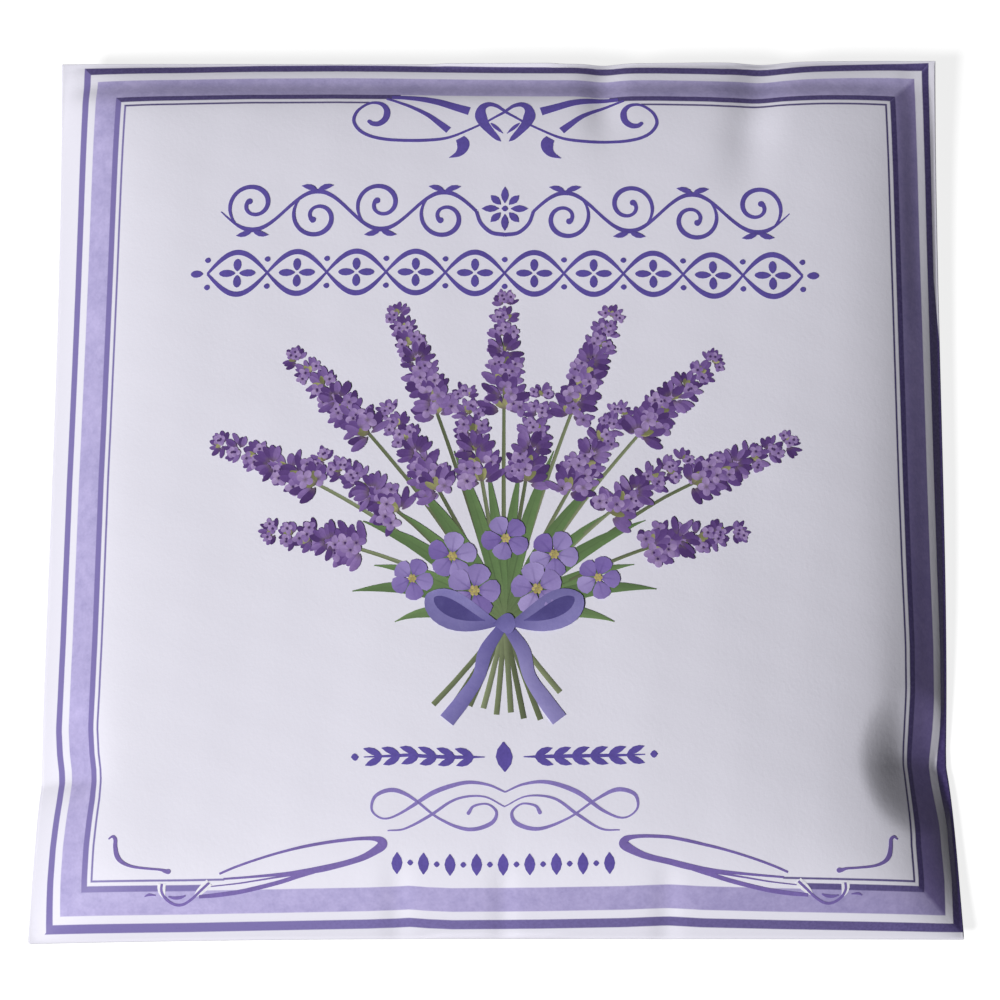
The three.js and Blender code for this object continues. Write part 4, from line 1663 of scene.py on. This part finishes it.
@dataclass(frozen=True)
class Posy:
    """The picture: a fan of flower spikes over leaves and blossoms, tied with a bow."""

    press: InkPress
    tie: tuple[float, float] = (0.0, -18.5)
    upright: Sprig = Sprig(0.0, 40.0, 13.5)
    leaning: tuple[Sprig, ...] = (
        Sprig(19.0, 40.5, 13.5), Sprig(38.0, 41.5, 13.0), Sprig(57.0, 41.0, 12.5), Sprig(9.5, 28.5, 11.0),
        Sprig(28.5, 29.5, 11.5), Sprig(47.5, 29.5, 11.0), Sprig(68.0, 30.0, 10.5))
    leaves: tuple[tuple[float, float, float], ...] = (
        (6.0, 19.0, 1.5), (16.0, 22.0, 1.7), (33.0, 21.0, 1.8), (43.0, 18.0, 1.6), (54.0, 21.0, 1.9),
        (66.0, 17.0, 1.7), (78.0, 18.5, 1.9), (90.0, 13.0, 1.7))
    blossoms: tuple[tuple[float, float, float], ...] = (
        (-11.0, -13.3, 2.3), (11.2, -13.1, 2.3), (-6.2, -10.4, 2.6), (6.0, -10.2, 2.6), (0.2, -8.2, 2.5),
        (-3.6, -14.6, 2.9), (3.9, -14.4, 2.9))
    stem_paint: Paint = Paint(
        "stem_paint", ((0.0, (0.075, 0.095, 0.045)), (0.5, (0.17, 0.205, 0.105)), (1.0, (0.33, 0.38, 0.22))),
        root=(0.20, 0.24, 0.13), shadow=(0.05, 0.055, 0.035), rib=0.0, shade=0.55)
    leaf_paint: Paint = Paint(
        "leaf_paint", ((0.0, (0.07, 0.12, 0.05)), (0.5, (0.13, 0.22, 0.085)), (1.0, (0.25, 0.36, 0.15))),
        root=(0.16, 0.2, 0.1), shadow=(0.04, 0.06, 0.03), rib=0.5, shade=0.35)
    flower_paint: Paint = Paint(
        "flower_paint", ((0.0, (0.055, 0.022, 0.115)), (0.18, (0.13, 0.065, 0.25)), (0.32, (0.26, 0.16, 0.42)),
                         (0.48, (0.47, 0.34, 0.62)), (0.56, (0.10, 0.10, 0.045)), (0.78, (0.24, 0.25, 0.09)),
                         (1.0, (0.46, 0.45, 0.20))),
        root=(0.15, 0.11, 0.13), shadow=(0.05, 0.02, 0.10), root_reach=0.35, mottle=0.1)
    blossom_paint: Paint = Paint(
        "blossom_paint", ((0.0, (0.20, 0.13, 0.42)), (0.5, (0.44, 0.36, 0.68)), (0.62, (0.30, 0.25, 0.05)),
                          (1.0, (0.62, 0.52, 0.16))),
        root=(0.10, 0.05, 0.24), shadow=(0.07, 0.04, 0.2), root_reach=0.28, rib=0.45, mottle=0.12)
    ribbon_paint: Paint = Paint(
        "ribbon_paint", ((0.0, (0.075, 0.06, 0.22)), (0.5, (0.20, 0.175, 0.45)), (1.0, (0.42, 0.38, 0.68))),
        root=(0.12, 0.1, 0.32), shadow=(0.06, 0.05, 0.18), root_reach=0.4, rib=0.0, shade=0.4)
    seed: int = 11

    def sprigs(self) -> list[Sprig]:
        """The upright sprig, and each leaning one on both sides."""
        pairs = ((sprig, replace(sprig, lean=-sprig.lean)) for sprig in self.leaning)
        return [self.upright, *(sprig for pair in pairs for sprig in pair)]

    def foliage(self) -> Petals:
        """Long leaves that fan out from the tie, bent outwards, on both sides."""
        lean, length, width = np.array(self.leaves).T
        bend = -0.5 * np.radians(lean) - 0.1
        tones = 0.5 + 0.4 * np.sin(3.1 * np.arange(len(lean)))
        return Petals.of(self.tie, np.radians(90.0 - lean) - bend / 2, length, width, bend, tones).both_sides()

    def cut_stems(self) -> list[Stroke]:
        """The stems' lower ends, spread out under the tie."""
        lean = np.radians([-39.0, 37.0, -30.0, 28.0, -21.0, 20.0, -12.5, 11.5, -4.0, 4.5])
        length = 12.6 - 2.2 * np.abs(np.sin(5.0 * np.arange(len(lean))))
        share = np.linspace(0.0, 1.0, 4)
        p = self.tie[0] + 0.5 * np.sin(lean)[:, None] + np.sin(lean)[:, None] * length[:, None] * share**1.1
        q = self.tie[1] - np.cos(lean)[:, None] * length[:, None] * share
        width = np.broadcast_to(np.linspace(0.55, 0.66, 4), p.shape)
        return [Stroke(tuple(zip(*row))) for row in zip(p, q, width)]

    def open_flowers(self, rng: np.random.Generator) -> Petals:
        """Five-petalled blossoms, each with an eye of small dots.

        Args:
            rng: Source of the small differences.

        Returns:
            The petals.
        """
        groups = []
        for p, q, size in self.blossoms:
            turn = rng.uniform(0.0, 1.2) + np.arange(5) * 2 * math.pi / 5
            root = (p, q) + 0.12 * size * np.stack([np.cos(turn), np.sin(turn)], axis=-1)
            groups.append(Petals.of(root, turn, size * rng.uniform(0.94, 1.06, 5), 0.98 * size,
                                    rng.normal(0.0, 0.15, 5), rng.uniform(0.05, 0.45, 5)))
            around = np.arange(7) * 2 * math.pi / 6
            reach = 0.15 * size * (np.arange(7) < 6)[:, None]
            eye = (p - 0.09 * size, q) + reach * np.stack([np.cos(around), np.sin(around)], axis=-1)
            groups.append(Petals.of(eye, 0.0, 0.18 * size, 0.18 * size, 0.0, rng.uniform(0.75, 1.0, 7)))
        return Petals.joined(groups)

    def bow(self) -> tuple[list[Stroke], Petals]:
        """The ribbon: two tails, and two loops with a knot between.

        Returns:
            The tails, and the loops with their darker insides and the knot.
        """
        p, q = self.tie
        tail = Stroke(tuple((p + a, q + b, width) for a, b, width in (
            (-0.4, -0.6, 1.2), (-2.2, -3.4, 1.7), (-3.0, -6.4, 1.5), (-4.8, -9.2, 1.8), (-6.6, -11.6, 1.9))))
        loops = [Petals.of((p + 0.3, q - 0.2), 0.12, 9.6, 4.6, 0.5, 0.62).both_sides(),
                 Petals.of((p + 2.3, q + 0.25), 0.22, 6.6, 2.0, 0.42, 0.02).both_sides(),
                 Petals.of((p - 1.3, q - 0.1), 0.0, 2.6, 2.5, 0.0, 0.5)]
        return [tail, tail.mirrored()], Petals.joined(loops)

    def build(self) -> None:
        """Prints the posy, from what lies lowest upwards."""
        rng, press, sprigs = np.random.default_rng(self.seed), self.press, self.sprigs()
        green, leaf, flower, blossom, ribbon = (paint.material() for paint in (
            self.stem_paint, self.leaf_paint, self.flower_paint, self.blossom_paint, self.ribbon_paint))
        press.strokes("posy_cut_stems", self.cut_stems(), green)
        press.strokes("posy_stems", [sprig.stem(self.tie) for sprig in sprigs], green, first_order=2.0)
        press.petals("posy_leaves", self.foliage(), Outline.LEAF, leaf, first_order=10.0, step=1.0, rows=15)
        for number, sprig in enumerate(reversed(sprigs), start=1):
            press.petals(f"posy_spike_{number:02d}", sprig.flowers(self.tie, rng), Outline.BUD, flower,
                         first_order=12.0 + 2.0 * (number % 3), step=0.35)
        press.petals("posy_blossoms", self.open_flowers(rng), Outline.PETAL, blossom, first_order=30.0)
        tails, loops = self.bow()
        press.strokes("posy_ribbon_tails", tails, ribbon, first_order=20.0, tone=0.55)
        press.petals("posy_bow", loops, Outline.PETAL, ribbon, first_order=70.0, step=1.0, rows=17)


# Studio


@dataclass(frozen=True)
class Studio:
    """Camera, lights and floor."""

    eye_mm: tuple[float, float, float] = (4.25, -62.2, 290.8)
    turn_deg: tuple[float, float, float] = (11.92, 0.765, 0.07)
    focal_px: float = 2400.0
    frame_px: float = 1000.0
    sensor_mm: float = 36.0
    key_direction: tuple[float, float] = (-0.788, -0.616)
    key_elevation: float = 46.0
    key_distance: float = 1.5
    key_size: float = 0.34
    key_power: float = 25.5
    fill: float = 0.03
    fill_colour: Colour = (0.94, 0.96, 1.0)
    floor_reach: float = 3.0
    floor_level: float = -0.0002
    floor_glow: float = 0.84
    floor_shown: Colour = (0.28, 0.28, 0.28)
    floor_lighting: Colour = (0.15, 0.15, 0.15)

    def camera(self) -> None:
        """Places the camera where the photograph's was, by the fit of its outline."""
        data = bpy.data.cameras.new("camera")
        data.sensor_fit, data.sensor_width = "HORIZONTAL", self.sensor_mm
        data.lens = self.focal_px / self.frame_px * self.sensor_mm
        data.clip_start, data.clip_end = 0.01, 20.0
        camera = bpy.data.objects.new("camera", data)
        camera.location = [x * MM for x in self.eye_mm]
        camera.rotation_euler = [math.radians(x) for x in self.turn_deg]
        bpy.context.scene.collection.objects.link(camera)
        bpy.context.scene.camera = camera

    def lights(self) -> None:
        """One soft key from the lower left and a weak, even fill from the world."""
        data = bpy.data.lights.new("key", "AREA")
        data.shape, data.size, data.energy = "DISK", self.key_size, self.key_power
        key = bpy.data.objects.new("key", data)
        level = math.radians(self.key_elevation)
        toward = (*(c * math.cos(level) for c in self.key_direction), math.sin(level))
        key.location = [c * self.key_distance for c in toward]
        aim = np.array(toward) / np.linalg.norm(toward)
        key.rotation_euler = (math.acos(aim[2]), 0.0, math.atan2(aim[1], aim[0]) + math.pi / 2)
        bpy.context.scene.collection.objects.link(key)
        world = bpy.data.worlds.new("studio")
        world.use_nodes = True
        bench = Bench("studio", world.node_tree)
        fill = bench.node("ShaderNodeBackground", {}, {"Color": self.fill_colour, "Strength": self.fill})
        white = bench.node("ShaderNodeBackground", {}, {"Color": (1.0, 1.0, 1.0), "Strength": 1.0})
        mixed = bench.node("ShaderNodeMixShader", {}, {0: self.seen_rays(bench), 1: fill, 2: white})
        bench.node("ShaderNodeOutputWorld", {}, {"Surface": mixed})
        bpy.context.scene.world = world

    @staticmethod
    def seen_rays(bench: Bench) -> Wire:
        """1 for rays from the camera, from a reflection and through a clear surface, else 0."""
        camera, glossy, clear = (bench.node("ShaderNodeLightPath", {}, {}, output=f"Is {kind} Ray")
                                 for kind in ("Camera", "Glossy", "Transmission"))
        return camera.larger(glossy).larger(clear)

    def floor(self) -> None:
        """A wide pale floor that shows white to the camera and keeps the shadow."""
        bench = Bench("floor_white")
        lighting, shown = (bench.node("ShaderNodeBsdfDiffuse", {}, {"Color": colour})
                           for colour in (self.floor_lighting, self.floor_shown))
        glow = bench.node("ShaderNodeEmission", {}, {"Color": (1.0, 1.0, 1.0), "Strength": self.floor_glow})
        both = bench.node("ShaderNodeAddShader", {}, {0: shown, 1: glow})
        mixed = bench.node("ShaderNodeMixShader", {}, {0: self.seen_rays(bench), 1: lighting, 2: both})
        bench.node("ShaderNodeOutputMaterial", {}, {"Surface": mixed})
        mesh = bpy.data.meshes.new("floor")
        reach = self.floor_reach
        corners = [(-reach, -reach), (reach, -reach), (reach, reach), (-reach, reach)]
        mesh.from_pydata([(*corner, self.floor_level) for corner in corners], [], [(0, 1, 2, 3)])
        mesh.materials.append(bench.material)
        floor = bpy.data.objects.new("floor", mesh)
        bpy.context.scene.collection.objects.link(floor)

    def build(self) -> None:
        """Sets up the whole studio."""
        self.camera()
        self.lights()
        self.floor()
        bpy.context.scene.view_settings.view_transform = "Standard"


def main() -> None:
    """Builds the studio and the part, sub-assembly by sub-assembly."""
    logging.basicConfig(level=logging.INFO, format="%(name)s %(message)s")
    Studio().build()
    form, layout = EnvelopeForm(), PrintLayout()
    Envelope(form, layout).build()
    press = InkPress(form, layout)
    BorderScrolls(press).build()
    Borders(press).build()
    Posy(press).build()
    Filling().dress()


if __name__ == "__main__":
    main()
